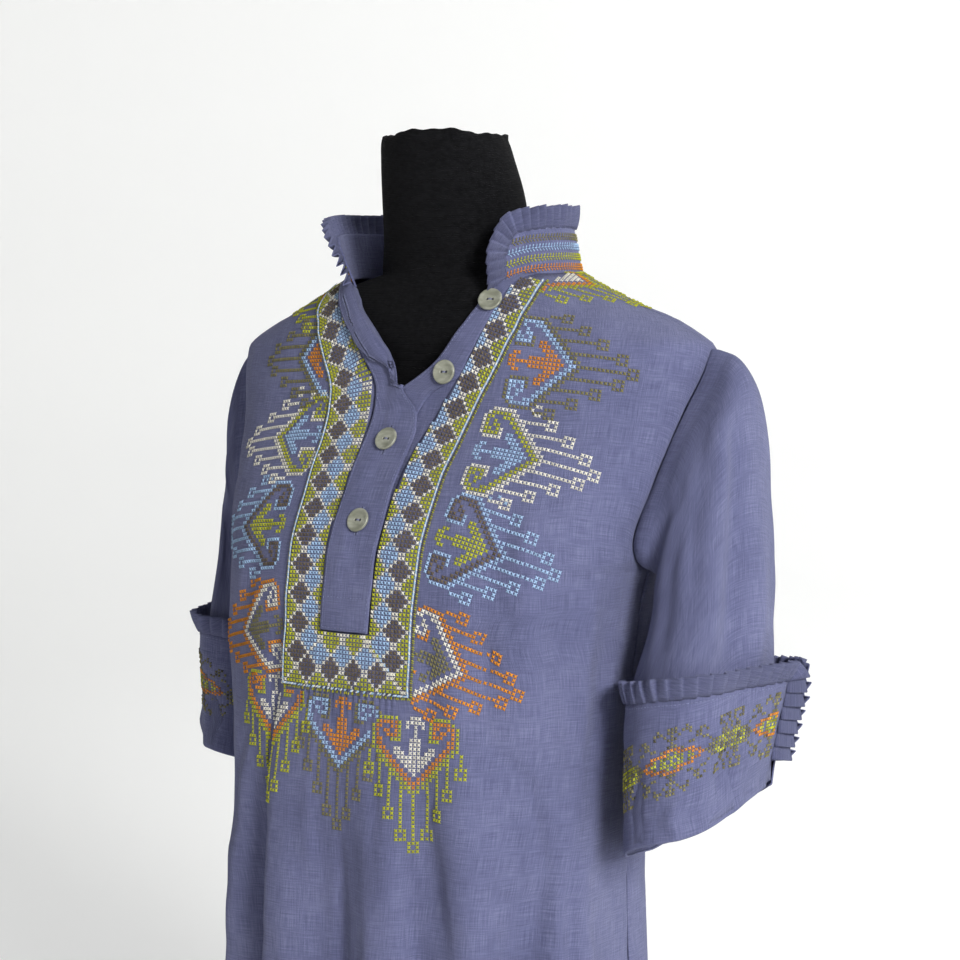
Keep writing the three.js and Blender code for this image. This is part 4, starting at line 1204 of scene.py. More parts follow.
def noise(tree, where, scale, detail=2.0, stretch=(1, 1, 1)):
    mapped = node(tree, "ShaderNodeMapping", {"Vector": where, "Scale": stretch})
    inputs = {"Vector": mapped.outputs[0], "Scale": scale, "Detail": detail}
    return node(tree, "ShaderNodeTexNoise", inputs).outputs["Fac"]


def ramp(tree, fac, *stops):
    made = node(tree, "ShaderNodeValToRGB", {"Fac": fac})
    elements = made.color_ramp.elements
    while len(elements) < len(stops):
        elements.new(0.5)
    for element, (place, colour) in zip(elements, stops):
        element.position, element.color = place, (*colour, 1)
    return made.outputs["Color"]


def mixed(tree, fac, a, b, kind="MIX"):
    made = node(tree, "ShaderNodeMix", data_type="RGBA", blend_type=kind)
    for socket, value in ((made.inputs[0], fac), (made.inputs[6], a), (made.inputs[7], b)):
        if isinstance(value, bpy.types.NodeSocket):
            tree.links.new(value, socket)
        else:
            socket.default_value = (*value, 1) if isinstance(value, tuple) else value
    return made.outputs[2]


def maths(tree, kind, a, b=0.0):
    return node(tree, "ShaderNodeMath", {0: a, 1: b}, operation=kind).outputs[0]


def bumped(tree, shader, height, distance, strength=1.0):
    made = node(tree, "ShaderNodeBump", {"Height": height, "Distance": distance, "Strength": strength})
    tree.links.new(made.outputs["Normal"], shader.inputs["Normal"])


def feel(shader, **sockets):
    """Numbers that are the same all over, set on the shader's own sockets."""
    for name, value in sockets.items():
        shader.inputs[name.replace("_", " ")].default_value = value


def waves(tree, value, period, phase=0.0):
    """A sine of a length, with this period in metres."""
    angle = maths(tree, "MULTIPLY", value, 2 * math.pi / period)
    return maths(tree, "SINE", maths(tree, "ADD", angle, phase))


# %% Linen
LINEN_SHADE, LINEN_MID, LINEN_LIGHT = (0.082, 0.089, 0.180), (0.116, 0.124, 0.236), (0.166, 0.175, 0.304)
THREAD_PITCH = 0.00062


def linen_finish():
    made, tree, shader = finish("linen")
    weave = node(tree, "ShaderNodeUVMap", uv_map="weave").outputs[0]
    place = node(tree, "ShaderNodeTexCoord").outputs["Object"]
    parts = node(tree, "ShaderNodeSeparateXYZ", {0: weave}).outputs
    weft_slubs = noise(tree, weave, 1, 3, (55, 1500, 1))
    warp_slubs = noise(tree, weave, 1, 3, (1500, 55, 1))
    cloudy = noise(tree, place, 14, 3)
    halves = [maths(tree, "MULTIPLY", slubs, 0.5) for slubs in (weft_slubs, warp_slubs)]
    streaks = maths(tree, "ADD", *halves)
    tone = maths(tree, "ADD", maths(tree, "MULTIPLY", streaks, 0.75), maths(tree, "MULTIPLY", cloudy, 0.25))
    colour = ramp(tree, tone, (0.39, LINEN_SHADE), (0.5, LINEN_MID), (0.61, LINEN_LIGHT))
    tree.links.new(colour, shader.inputs["Base Color"])
    plain = maths(tree, "MULTIPLY", waves(tree, parts[0], THREAD_PITCH), waves(tree, parts[1], THREAD_PITCH))
    threads = maths(tree, "ADD", maths(tree, "MULTIPLY", plain, 0.3), maths(tree, "MULTIPLY", streaks, 3.2))
    crumple = maths(tree, "MULTIPLY", noise(tree, place, 60, 4), 7.0)
    bumped(tree, shader, maths(tree, "ADD", threads, crumple), 0.00032)
    feel(shader, Roughness=0.88, Specular_IOR_Level=0.25)
    feel(shader, Sheen_Weight=0.1, Sheen_Roughness=0.5, Sheen_Tint=(0.8, 0.84, 0.95, 1))
    return made


linen = linen_finish()


# %% Thread, shell and jersey
def thread_finish():
    made, tree, shader = finish("embroidery_thread")
    dyed = node(tree, "ShaderNodeAttribute", attribute_name="thread_colour").outputs["Color"]
    place = node(tree, "ShaderNodeTexCoord").outputs["Object"]
    uneven = ramp(tree, noise(tree, place, 420, 3), (0.3, (0.72, 0.72, 0.72)), (0.7, (1, 1, 1)))
    tree.links.new(mixed(tree, 1.0, dyed, uneven, "MULTIPLY"), shader.inputs["Base Color"])
    bumped(tree, shader, noise(tree, place, 2600, 2), 0.0002)
    feel(shader, Roughness=0.62, Specular_IOR_Level=0.3, Sheen_Weight=0.04)
    return made


def shell_finish():
    made, tree, shader = finish("shell")
    place = node(tree, "ShaderNodeTexCoord").outputs["Object"]
    clouds = noise(tree, place, 90, 4, (1, 1, 2.5))
    dark, middle, light = (0.17, 0.175, 0.13), (0.23, 0.235, 0.185), (0.31, 0.315, 0.26)
    colour = ramp(tree, clouds, (0.35, dark), (0.5, middle), (0.66, light))
    tree.links.new(colour, shader.inputs["Base Color"])
    feel(shader, Roughness=0.32, Coat_Weight=0.12, Coat_Roughness=0.18)
    return made


def jersey_finish():
    made, tree, shader = finish("jersey")
    place = node(tree, "ShaderNodeTexCoord").outputs["Object"]
    parts = node(tree, "ShaderNodeSeparateXYZ", {0: place}).outputs
    fuzz = noise(tree, place, 300, 3)
    colour = ramp(tree, fuzz, (0.3, (0.0025, 0.0025, 0.003)), (0.7, (0.007, 0.007, 0.008)))
    tree.links.new(colour, shader.inputs["Base Color"])
    courses = maths(tree, "ADD", waves(tree, parts[2], 0.0013), maths(tree, "MULTIPLY", fuzz, 1.5))
    bumped(tree, shader, courses, 0.00012)
    feel(shader, Roughness=0.95, Specular_IOR_Level=0.08, Sheen_Weight=0.01)
    return made


thread, shell, jersey = thread_finish(), shell_finish(), jersey_finish()

# %% Dress the pieces
cloths = [lapel, front, back, *sleeves.values(), *cuffs.values(), *cuff_frills.values()]
cloths += [collar, collar_frill, band, under, top]
for piece in cloths:
    piece.data.materials.append(linen)
for piece in buttons.values():
    piece.data.materials.append(shell)
form.data.materials.append(jersey)

# %% [markdown]
# ## Stitches
# Most of the embroidery is cross stitch: two strands that cross, the upper one leaning the same way everywhere.
# Thousands of them would be slow to model one by one, so one stitch is modelled, and Geometry Nodes lay a
# copy on each point of a cloud, turned to the cloth. Points carry the cloth's normal, the row's direction
# and the thread's colour. The copies are then made real, because an exported mesh can't hold instances.


# %% One stitch
def strand(start, end, width, rise, tip=-0.12):
    """A plump strand between two points of the cloth, as a closed spindle."""
    start, end = np.array(start, float), np.array(end, float)
    way = end - start
    side = np.array([-way[1], way[0]]) / np.linalg.norm(way) * width / 2
    points = [(*start, tip)]
    for t, full in ((0.2, 0.8), (0.5, 1), (0.8, 0.8)):
        middle, high = start + way * t, rise * (0.35 + 0.65 * full)
        left, right, low = middle - side * full, middle + side * full, high * 0.35
        points += [(*left, low), (*middle, high), (*right, low), (*middle, -0.2)]
    points.append((*end, tip))
    faces = [(0, 1 + (k + 1) % 4, 1 + k) for k in range(4)] + [(13, 9 + k, 9 + (k + 1) % 4) for k in range(4)]
    for ring in (1, 5):
        faces += [(ring + k, ring + (k + 1) % 4, ring + 4 + (k + 1) % 4, ring + 4 + k) for k in range(4)]
    return points, faces


def stitch_object(name, *strands):
    points, faces = [], []
    for made, quads in strands:
        faces += [tuple(p + len(points) for p in face) for face in quads]
        points += made
    thing = mesh_object(name, np.array(points) * MM, [f[::-1] for f in faces])
    bpy.context.scene.collection.objects.unlink(thing)
    return thing


CROSS = 1.36  # half the width of a cross
cross_stitch = stitch_object(
    "cross_stitch",
    strand((-CROSS, CROSS), (CROSS, -CROSS), 1.15, 0.5),
    strand((-CROSS, -CROSS), (CROSS, CROSS), 1.2, 0.85),
)
run_stitch = stitch_object("run_stitch", strand((-1.05, 0), (1.05, 0), 0.62, 0.34))
long_stitch = stitch_object("long_stitch", strand((-1.5, 0), (1.5, 0), 1.15, 0.8))
print("cross stitch faces", len(cross_stitch.data.polygons))


# %% The stitcher
def stitch_tree():
    tree = bpy.data.node_groups.new("lay_stitches", "GeometryNodeTree")
    socket = tree.interface.new_socket
    socket("Points", in_out="INPUT", socket_type="NodeSocketGeometry")
    socket("Stitch", in_out="INPUT", socket_type="NodeSocketObject")
    socket("Size", in_out="INPUT", socket_type="NodeSocketFloat")
    socket("Finish", in_out="INPUT", socket_type="NodeSocketMaterial")
    socket("Embroidery", in_out="OUTPUT", socket_type="NodeSocketGeometry")
    given = tree.nodes.new("NodeGroupInput").outputs

    def attribute(name):
        read_in = node(tree, "GeometryNodeInputNamedAttribute", {"Name": name}, data_type="FLOAT_VECTOR")
        return read_in.outputs[0]

    align = "FunctionNodeAlignRotationToVector"
    up = node(tree, align, {"Vector": attribute("up")}, axis="Z")
    turn_to = {"Rotation": up.outputs[0], "Vector": attribute("along")}
    turned = node(tree, align, turn_to, axis="X", pivot_axis="Z")
    model = node(tree, "GeometryNodeObjectInfo", {"Object": given["Stitch"]}).outputs["Geometry"]
    laid = node(tree, "GeometryNodeInstanceOnPoints", {
        "Points": given["Points"], "Instance": model, "Rotation": turned.outputs[0], "Scale": given["Size"],
    })
    real = node(tree, "GeometryNodeRealizeInstances", {0: laid.outputs[0]})
    dyed = node(tree, "GeometryNodeSetMaterial", {"Geometry": real.outputs[0], "Material": given["Finish"]})
    tree.links.new(dyed.outputs[0], tree.nodes.new("NodeGroupOutput").inputs[0])
    return tree


stitcher = stitch_tree()
stitch_inputs = {item.name: item.identifier for item in stitcher.interface.items_tree if item.in_out == "INPUT"}


def stitched(name, places, ups, alongs, colours, stitch=cross_stitch, size=1.0):
    """Stitches on points in millimetres, as one plain mesh."""
    cloud = mesh_object(name + "_points", np.array(places) * MM, [])
    colours = np.concatenate([np.array(colours, float), np.ones((len(colours), 1))], 1)
    for key, kind, field, values in (
        ("up", "FLOAT_VECTOR", "vector", ups),
        ("along", "FLOAT_VECTOR", "vector", alongs),
        ("thread_colour", "FLOAT_COLOR", "color", colours),
    ):
        layer = cloud.data.attributes.new(key, kind, "POINT")
        layer.data.foreach_set(field, np.array(values, float).ravel())
    layer = cloud.modifiers.new("stitches", "NODES")
    layer.node_group = stitcher
    layer[stitch_inputs["Stitch"]], layer[stitch_inputs["Size"]] = stitch, size
    layer[stitch_inputs["Finish"]] = thread
    made = new_object(name, evaluated_mesh(cloud))
    bpy.data.objects.remove(cloud)
    print(name, len(places), "stitches,", len(made.data.polygons), "faces")
    return made


# %% Thread colours
LIME, ORANGE, WHITE = (0.43, 0.44, 0.018), (0.66, 0.245, 0.010), (0.76, 0.73, 0.63)
BLUE, BROWN, OLIVE = (0.36, 0.52, 0.74), (0.135, 0.103, 0.066), (0.20, 0.18, 0.07)
LINEN_THREAD = (0.20, 0.215, 0.37)


def dyed(colours, seed, spread=0.16):
    """Each stitch a little lighter or darker than its thread."""
    chance = np.random.default_rng(seed)
    shade = 1 + spread * chance.standard_normal((len(colours), 1)) * 0.6
    return np.clip(np.array(colours) * shade, 0.01, 0.95)


# %% [markdown]
# ## Walking over a surface
# A motif is charted on squared paper, and its rows have to stay straight and even on a curved chest. So each
# row is walked: from a point, one stitch's length at a time, straight ahead over the surface.


# %% Walker
def tangents(surface, place):
    u, v = place[:, 0], place[:, 1]
    h = 0.5
    along_u = (surface(u + h, v) - surface(u - h, v)) / (2 * h)
    along_v = (surface(u, v + h) - surface(u, v - h)) / (2 * h)
    return along_u, along_v, unit(np.cross(along_u, along_v))


def step_over(surface, place, heading, distance):
    """Places one step on, and their headings there."""
    along_u, along_v, _ = tangents(surface, place)
    a, b, c = (np.sum(p * q, -1) for p, q in ((along_u, along_u), (along_u, along_v), (along_v, along_v)))
    r, s = np.sum(along_u * heading, -1), np.sum(along_v * heading, -1)
    away = np.stack([c * r - b * s, a * s - b * r], -1) / (a * c - b * b)[:, None]
    place = place + away * np.reshape(distance, (-1, 1))
    _, _, normal = tangents(surface, place)
    return place, unit(heading - normal * np.sum(normal * heading, -1, keepdims=True))


def sideways(surface, place, heading):
    _, _, normal = tangents(surface, place)
    return unit(np.cross(normal, heading))


# %% [markdown]
# ## The motifs
# The thirteen motifs stand round the band like rays. Each is a hooked arrowhead with an anchor in its mouth
# and a comb of small squares behind, in three of the six colours. The chart is half a motif, row by row from
# the anchor's top, and its last column is the middle. The comb's teeth are a short table: each tooth's
# distance from the middle and its first and last row.

# %% Chart
MOTIF_HALF = """
....ccccc...aa
...coooooc.aaa
..coo..ooc.a.a
..co.oo.oc...a
..co..oooc...a
..coo..ccc..aa
..coo.......aa
..ccoo..aa..aa
...ccoo.aaa.aa
....ccoo.aaaaa
.....ccoo.aaaa
......ccoo.aaa
.......ccoo.aa
........ccoo.a
.........ccoo.
..........ccoo
...........cco
............cc
.............c
"""
COMB_TEETH = [(0, 19, 31), (3, 16, 28), (6, 13, 23), (9, 10, 18), (12, 8, 13)]
MOTIF_PITCH = 3.0
V_TIP_ROW = 16


def motif_cells():
    """(row, column, part) of every stitch of a whole motif, with column 0 in the middle."""
    cells = {}
    for row, line in enumerate(MOTIF_HALF.split()):
        for n, part in enumerate(line):
            if part != ".":
                for column in {n - len(line) + 1, len(line) - 1 - n}:
                    cells[row, column] = part
    for away, first, last in COMB_TEETH:
        for side in {-1, 1}:
            columns = (away - 1, away, away + 1)
            square = {(row, column) for row in range(last - 2, last + 1) for column in columns}
            for row, column in square - {(last - 1, away)} | {(row, away) for row in range(first, last - 2)}:
                cells.setdefault((row, side * column), "c")
    return cells


MOTIF = motif_cells()
# The arrowhead's tip, the way that the comb points from there, and the colours of the comb, the outline and
# the anchor.
MOTIFS = {
    "left": [
        ((117, 2, 751), (62, 24, -24), LIME, ORANGE, WHITE),
        ((137, -56, 692), (83, 27, -10), OLIVE, BLUE, ORANGE),
        ((124, -84, 627), (86, 23, -17), WHITE, LIME, BLUE),
        ((113, -115, 563), (76, 25, -25), BLUE, BROWN, LIME),
        ((94, -133, 481), (69, 24, -26), ORANGE, WHITE, OLIVE),
        ((63, -147, 400), (1, -2, -86), LIME, ORANGE, WHITE),
        ((0, -150, 409), (-2, -6, -88), OLIVE, BLUE, ORANGE),
    ],
    "right": [
        ((-107, -30, 744), (-52, 22, -8), LIME, ORANGE, WHITE),
        ((-103, -65, 697), (-97, 21, -5), OLIVE, BLUE, ORANGE),
        ((-110, -83, 637), (-79, 14, -7), WHITE, LIME, BLUE),
        ((-118, -110, 570), (-62, 15, -8), BLUE, BROWN, LIME),
        ((-107, -125, 494), (-52, 17, -12), ORANGE, WHITE, OLIVE),
        ((-67, -144, 420), (2, -8, -80), LIME, ORANGE, WHITE),
    ],
}
body_tree = tree_of(front_smooth, back_smooth)
worn_tree = tree_of(front_points, back_points)


# %% Motif layout
def walk(places, headings, distance):
    """One step on over the body: the places, their headings and the body's normals there."""
    found = [body_tree.find_nearest(Vector(place))[:2] for place in places + headings * distance]
    places, normals = (np.array(column) for column in zip(*found))
    return places, unit(headings - normals * np.sum(headings * normals, -1, keepdims=True)), normals


def motif_points(tip, way):
    """The place and the row's direction for every cell of a motif."""
    start, heading, _ = walk(np.array([tip], float), unit(np.array([way], float)), 0)
    rows = {V_TIP_ROW: (start, heading)}
    for sign, last in ((1, 31), (-1, 0)):
        place, ahead = start, heading
        for row in range(V_TIP_ROW + sign, last + sign, sign):
            place, ahead, _ = walk(place, ahead * sign, MOTIF_PITCH)
            ahead = ahead * sign
            rows[row] = (place, ahead)
    axis, ways = (np.concatenate([rows[row][n] for row in range(32)]) for n in (0, 1))
    axis, ways, normals = walk(axis, ways, 0)
    cells = {0: (axis, np.cross(normals, ways))}
    for sign in (1, -1):
        place, across = axis, np.cross(normals, ways) * sign
        for column in range(1, 14):
            place, across, _ = walk(place, across, MOTIF_PITCH)
            cells[sign * column] = (place, across)
    return cells


STITCH_LIFT = 0.12
BORDER_CLEAR, STITCH_APART = 4.6, 1.9


def motifs(side):
    places, alongs, colours = [], [], []
    for tip, way, comb, outline, anchor in MOTIFS[side]:
        cells = motif_points(tip, way)
        for (row, column), part in MOTIF.items():
            place, along = (block[row] for block in cells[column])
            edge = "left" if place[0] > 0 else "right"
            near = place[2] > BIB_BOTTOM_Z - BORDER_CLEAR and place[1] < 0
            if near and abs(place[0]) < read(BIB, place[2], "out_" + edge) + BORDER_CLEAR:
                continue
            if places and np.min(np.sum((np.array(places) - place) ** 2, -1)) < STITCH_APART**2:
                continue  # another motif, or the neck's edge, already has a stitch here
            places.append(place)
            alongs.append(along)
            colours.append({"c": comb, "o": outline, "a": anchor}[part])
    laid, ups = laid_on(worn_tree, np.array(places), STITCH_LIFT)
    return stitched("motifs_" + side, laid, ups, alongs, dyed(colours, 61))


motif_pieces = {side: motifs(side) for side in MOTIFS}

# %% [markdown]
# ## The band's lattice
# The band is worked all over in a lattice of diamonds: white lines, then lime half diamonds at the outer
# edge, brown diamonds, light-blue diamonds and lime half diamonds again. A formula gives each cell's colour
# from its place along and across the band, and the corners are mitred.

# %% Lattice
LATTICE = 7  # stitches from one line to the next
MIDDLE_OFFSET = 15.0  # rows are spaced evenly along the band's middle, this far in from its edge
DIAMONDS = (LIME, BROWN, BLUE, LIME, WHITE)
band_tree = tree_of(band_points)


def lattice_colour(along, across):
    if (along + across) % LATTICE == 0 or (along - across) % LATTICE == 0:
        return WHITE
    return DIAMONDS[(along + across) // LATTICE - (along - across) // LATTICE]


def edge_path(side, offset=0.0):
    """The band's outer edge from its corner up to the collar: places every millimetre or so."""
    z = np.arange(BIB_BOTTOM_Z - offset, 753, 1.0)
    sign = 1 if side == "left" else -1
    return np.stack([sign * (read(BIB, z, "out_" + side) + offset), z], -1)


def stations(path, spacing, start=0.0):
    """Places at an even spacing along a path on the front, and the way that it goes there."""
    lengths = lengths_along(front_point(*path.T), 0)
    at = np.arange(start, lengths[-1], spacing)
    place = np.stack([np.interp(at, lengths, column) for column in path.T], -1)
    ahead = np.stack([np.interp(at + 0.5, lengths, column) for column in path.T], -1)
    behind = np.stack([np.interp(at - 0.5, lengths, column) for column in path.T], -1)
    return place, unit(front_point(*ahead.T) - front_point(*behind.T))


def lattice_cells():
    places, alongs, colours = [], [], []

    def work(path, inward, inside):
        place, way = stations(path, MOTIF_PITCH, MOTIF_PITCH / 2)
        place, _ = step_over(front_point, place, sideways(front_point, place, way) * inward, MIDDLE_OFFSET)
        middle, way = stations(place, MOTIF_PITCH)
        heading = sideways(front_point, middle, way) * inward
        for across in range(13):
            offset = (across + 0.5) * MOTIF_PITCH - MIDDLE_OFFSET
            place, _ = step_over(front_point, middle, heading, offset)
            for n, (x, z) in enumerate(place):
                if inside(n, across, x, z):
                    places.append((x, z))
                    alongs.append(way[n])
                    colours.append(lattice_colour(n, across))

    def in_side(side):
        def inside(n, across, x, z):
            if z < BIB_INNER_Z:
                return z - BIB_BOTTOM_Z > across * MOTIF_PITCH
            return abs(x) > read(BIB, z, "in_" + side) + 0.6 and z < 753
        return inside

    work(edge_path("left"), 1, in_side("left"))
    work(edge_path("right"), -1, in_side("right"))
    half = 55
    bottom = np.stack([np.arange(-half, half + 0.5), np.full(2 * half + 1, float(BIB_BOTTOM_Z))], -1)
    work(bottom, 1, lambda n, across, x, z: z < BIB_INNER_Z and half - abs(x) >= across * MOTIF_PITCH)
    return places, alongs, colours


places, alongs, colours = lattice_cells()
laid, ups = laid_on(band_tree, front_point(*np.array(places).T), STITCH_LIFT)
lattice = stitched("band_lattice", laid, ups, alongs, dyed(colours, 62))

# %% [markdown]
# ## The band's border
# Round the outside of the band runs a twisted cord of light blue and white, whipped down in lime.

# %% Border
CORD_OFFSET, WHIP_OFFSET, CORD_STEP, WHIP_STEP = 1.0, 3.1, 1.3, 1.55


def border_path(offset):
    left, right = edge_path("left", offset), edge_path("right", offset)
    x = np.arange(55 + offset - 1, -55 - offset, -1.0)
    bottom = np.stack([x, np.full(len(x), BIB_BOTTOM_Z - offset)], -1)
    return np.concatenate([left[::-1], bottom, right])


def border(name, offset, step, twist, colours, lift, stitch, size):
    place, way = stations(border_path(offset), step)
    across = sideways(front_point, place, way)
    along = unit(way * math.cos(twist) + across * math.sin(twist))
    laid, ups = laid_on(front_tree, front_point(*place.T), lift)
    threads = [colours[n % len(colours)] for n in range(len(place))]
    return stitched(name, laid, ups, along, dyed(threads, 63), stitch, size)


cord = border("border_cord", CORD_OFFSET, CORD_STEP, 0.6, (BLUE, WHITE, BLUE), 1.9, long_stitch, 0.95)
whip = border("border_whip", WHIP_OFFSET, WHIP_STEP, 1.25, (LIME, LIME, OLIVE), 0.5, long_stitch, 0.85)

# %% [markdown]
# ## The collar's braids
# Four rows of braid stitch run round the outside of the collar, in orange, lime, light blue and olive. Each
# is a chain of long stitches with a slanting spur to either side.

# %% Braids
BRAIDS = [(4.2, ORANGE), (11.6, LIME), (19, BLUE), (26, OLIVE)]
BRAID_STEP, SPUR_AWAY, SPUR_SLANT = 2.7, 1.75, 1.05
collar_tree = tree_of(collar_points)


def along_path(path, step, tree, outward=1):
    """Stations along a path of points, dropped on a surface: places, normals, the way and the way across."""
    lengths = lengths_along(path, 0)
    at = np.arange(step, lengths[-1] - step / 2, step)
    place = np.stack([np.interp(at, lengths, column) for column in path.T], -1)
    laid, ups = laid_on(tree, place, 0, outward)
    way = np.gradient(laid, axis=0)
    way = unit(way - ups * np.sum(way * ups, -1, keepdims=True))
    return laid, ups, way, np.cross(ups, way)


def braids():
    laid, ups, alongs, colours = [], [], [], []
    for height, colour in BRAIDS:
        turns = np.linspace(COLLAR_END, 360 - COLLAR_END, 900)
        turns = turns[height / COLLAR_HEIGHT < collar_top(turns) - 0.06]
        path = collar_point(turns, height / COLLAR_HEIGHT)
        place, up, way, across = along_path(path, BRAID_STEP, collar_tree)
        for away, slant in ((0, 0.25), (SPUR_AWAY, SPUR_SLANT), (-SPUR_AWAY, -SPUR_SLANT)):
            laid.append(place + across * away + way * abs(away) * 0.5 + up * (0.25 if away else 0.5))
            ups.append(up)
            alongs.append(way * math.cos(slant) + across * math.sin(slant))
            colours += [colour] * len(place)
    laid, ups, alongs = (np.concatenate(block) for block in (laid, ups, alongs))
    return stitched("collar_braids", laid, ups, alongs, dyed(colours, 64), long_stitch, 0.88)


collar_braids = braids()

# %% [markdown]
# ## The cuffs' embroidery
# A row of lozenges, hexagons, sprigs and small hooks runs round each cuff in finer stitches. The chart is a
# quarter of one repeat, and it is mirrored about its first column, its last column and its first row.

# %% Cuff chart
CUFF_CHART = """
l.ll.ll.oovvvlvvllv
llll.looo..vvllvlvv
.looooo.....vvllllv
ooov.......v...vvv.
vv...vv..vv....vv.v
v......vv.......v.v
vv.....vv.v...vv.v.
v.v..v..vv....v..v.
vv.vvv........vvvv.
vv..v..............
""".split()
CUFF_THREADS = {"l": LIME, "o": ORANGE, "v": OLIVE}
CUFF_PITCH = 2.4
CUFF_CENTRE = 74  # the turn at a lozenge's middle
cuff_trees = {side: tree_of(cuff_grids[side]) for side in OUTWARD}


def cuff_embroidery(side):
    surface = lambda turn, height: cuff_point(side, turn, height)
    turns = np.linspace(CUFF_START + 4, CUFF_END - 4, 700)
    lengths = lengths_along(surface(turns, 0.5), 0)
    lengths -= np.interp(CUFF_CENTRE, turns, lengths)
    repeat = 2 * (len(CUFF_CHART[0]) - 1)
    places, alongs, colours = [], [], []
    for column in range(math.ceil(lengths[0] / CUFF_PITCH), math.floor(lengths[-1] / CUFF_PITCH)):
        turn = np.interp(column * CUFF_PITCH, lengths, turns)
        deep = float(lengths_along(surface(turn, np.linspace(0, 1, 12)), 0)[-1])
        way = unit(surface(turn + 1, 0.5) - surface(turn - 1, 0.5))
        for row in range(1 - len(CUFF_CHART), len(CUFF_CHART)):
            part = CUFF_CHART[abs(row)][min(column % repeat, -column % repeat)]
            height = 0.5 + 0.1 * math.cos(math.radians(turn - 5)) - row * CUFF_PITCH / deep
            if part != "." and 0.04 < height < 0.96:
                places.append(surface(turn, height))
                alongs.append(way)
                colours.append(CUFF_THREADS[part])
    laid, ups = laid_on(cuff_trees[side], np.array(places), STITCH_LIFT, -OUTWARD[side])
    threads, size = dyed(colours, 65, 0.5), CUFF_PITCH / MOTIF_PITCH
    return stitched("cuff_embroidery_" + side, laid, ups, alongs, threads, cross_stitch, size)


cuff_pieces = {side: cuff_embroidery(side) for side in OUTWARD}

# %% [markdown]
# ## Topstitching, buttonholes and the buttons' thread
# A line of running stitches holds each edge flat: the plackets, the collar, the cuffs, the lapel and the hem.
# The buttonholes are worked in satin bars either side of a slit, and a near-black row of stitches down the slit
# is painted shadow.

# %% Topstitching
SEAM_STITCH, EDGE_MARGIN = 2.9, 2.0
trees = {name: tree_of(grid) for name, grid in (
    ("top", top_points),
    ("under", under_points),
    ("lapel", lapel_points[:, :LAPEL_COLUMNS]),
    ("collar", collar_points),
)}


def sewn(name, lines, colour=LINEN_THREAD):
    laid, ups, alongs = [], [], []
    for path, tree, outward in lines:
        place, up, way, _ = along_path(path, SEAM_STITCH, tree, outward)
        laid.append(place + up * 0.1)
        ups.append(up)
        alongs.append(way)
    laid, ups, alongs = (np.concatenate(block) for block in (laid, ups, alongs))
    return stitched(name, laid, ups, alongs, dyed([colour] * len(laid), 66), run_stitch)


def inside_edge(grid, row=None, column=None, margin=EDGE_MARGIN):
    """A path a little inside one edge of a grid."""
    edge, inner = (grid[row], grid[row + (1 if row == 0 else -1)]) if column is None else (
        grid[:, column], grid[:, column + (1 if column == 0 else -1)])
    return edge + unit(inner - edge) * margin


placket_thread = sewn("placket_topstitch", [
    (inside_edge(top_points, column=0), trees["top"], 1),
    (inside_edge(top_points, column=-1), trees["top"], 1),
    (inside_edge(top_points, row=0), trees["top"], 1),
    (inside_edge(top_points, row=0, margin=24), trees["top"], 1),
    (inside_edge(lapel_points, column=0), trees["lapel"], 1),
    (inside_edge(under_points, column=0), trees["under"], 1),
])
turns = np.linspace(COLLAR_END + 2, 358 - COLLAR_END, 400)
collar_lines = [(collar_band(turns, share), trees["collar"], 1) for share in (0.97, 0.03)]
collar_thread = sewn("collar_topstitch", collar_lines)
turns = np.linspace(CUFF_START + 1, CUFF_END - 1, 400)
cuff_threads = {
    side: sewn("cuff_topstitch_" + side, [(cuff_point(side, turns, 0.95), cuff_trees[side], -OUTWARD[side])])
    for side in OUTWARD
}
hem_z = HEM_Z + 22
hem_threads = {
    name: sewn("hem_topstitch_" + name, [(body_point(np.linspace(start, end, 500), hem_z), tree, 1)])
    for name, start, end, tree in (("front", -88, 88, front_tree), ("back", 92, 268, tree_of(back_points)))
}

# %% Buttonholes and button thread
HOLE_LINES = [("top", 5, 637), ("top", 2, 581), ("lapel", -52, 731), ("lapel", -30, 706)]
HOLE_HALF, BAR_STEP, BAR_AWAY = 10.5, 0.85, 1.25
# The second colour is near black: the row of stitches down each slit is painted shadow in the cut.
HOLE_THREAD, SLIT_PAINTED_SHADOW = (0.24, 0.26, 0.42), (0.02, 0.021, 0.04)


def buttonholes():
    laid, ups, alongs, colours = [], [], [], []
    for name, x, z in HOLE_LINES:
        heights = np.arange(z - HOLE_HALF, z + HOLE_HALF, BAR_STEP)
        lean = 0 if name == "top" else (z - heights) * 1.0
        path = front_point(x + np.zeros_like(heights) + lean, heights)
        place, up, way, across = along_path(path, BAR_STEP, trees[name])
        # The middle row, in the near-black colour, is painted shadow in the slit.
        for away, colour in ((BAR_AWAY, HOLE_THREAD), (-BAR_AWAY, HOLE_THREAD), (0, SLIT_PAINTED_SHADOW)):
            laid.append(place + across * away + up * 0.08)
            ups.append(up)
            alongs.append(across if away else way)
            colours += [colour] * len(place)
    laid, ups, alongs = (np.concatenate(block) for block in (laid, ups, alongs))
    return stitched("buttonhole_bars", laid, ups, alongs, dyed(colours, 67), run_stitch, 0.8)


hole_bars = buttonholes()
DISH_HEIGHT = 1.5  # the button's thickness in its dish
button_strand = stitch_object(
    "button_strand", *[strand((-HOLE_APART / 2, y), (HOLE_APART / 2, y), 0.5, 0.55, -0.9) for y in (-0.3, 0.3)]
)


def button_threads():
    centres = []
    for _, *seat in BUTTONS:
        centre, (side, _, normal) = button_seat(*seat)
        centres.append((centre + normal * DISH_HEIGHT, normal, side))
    laid, ups, alongs = (np.array(column) for column in zip(*centres))
    return stitched("button_threads", laid, ups, alongs, dyed([LINEN_THREAD] * len(laid), 68), button_strand)


button_thread = button_threads()
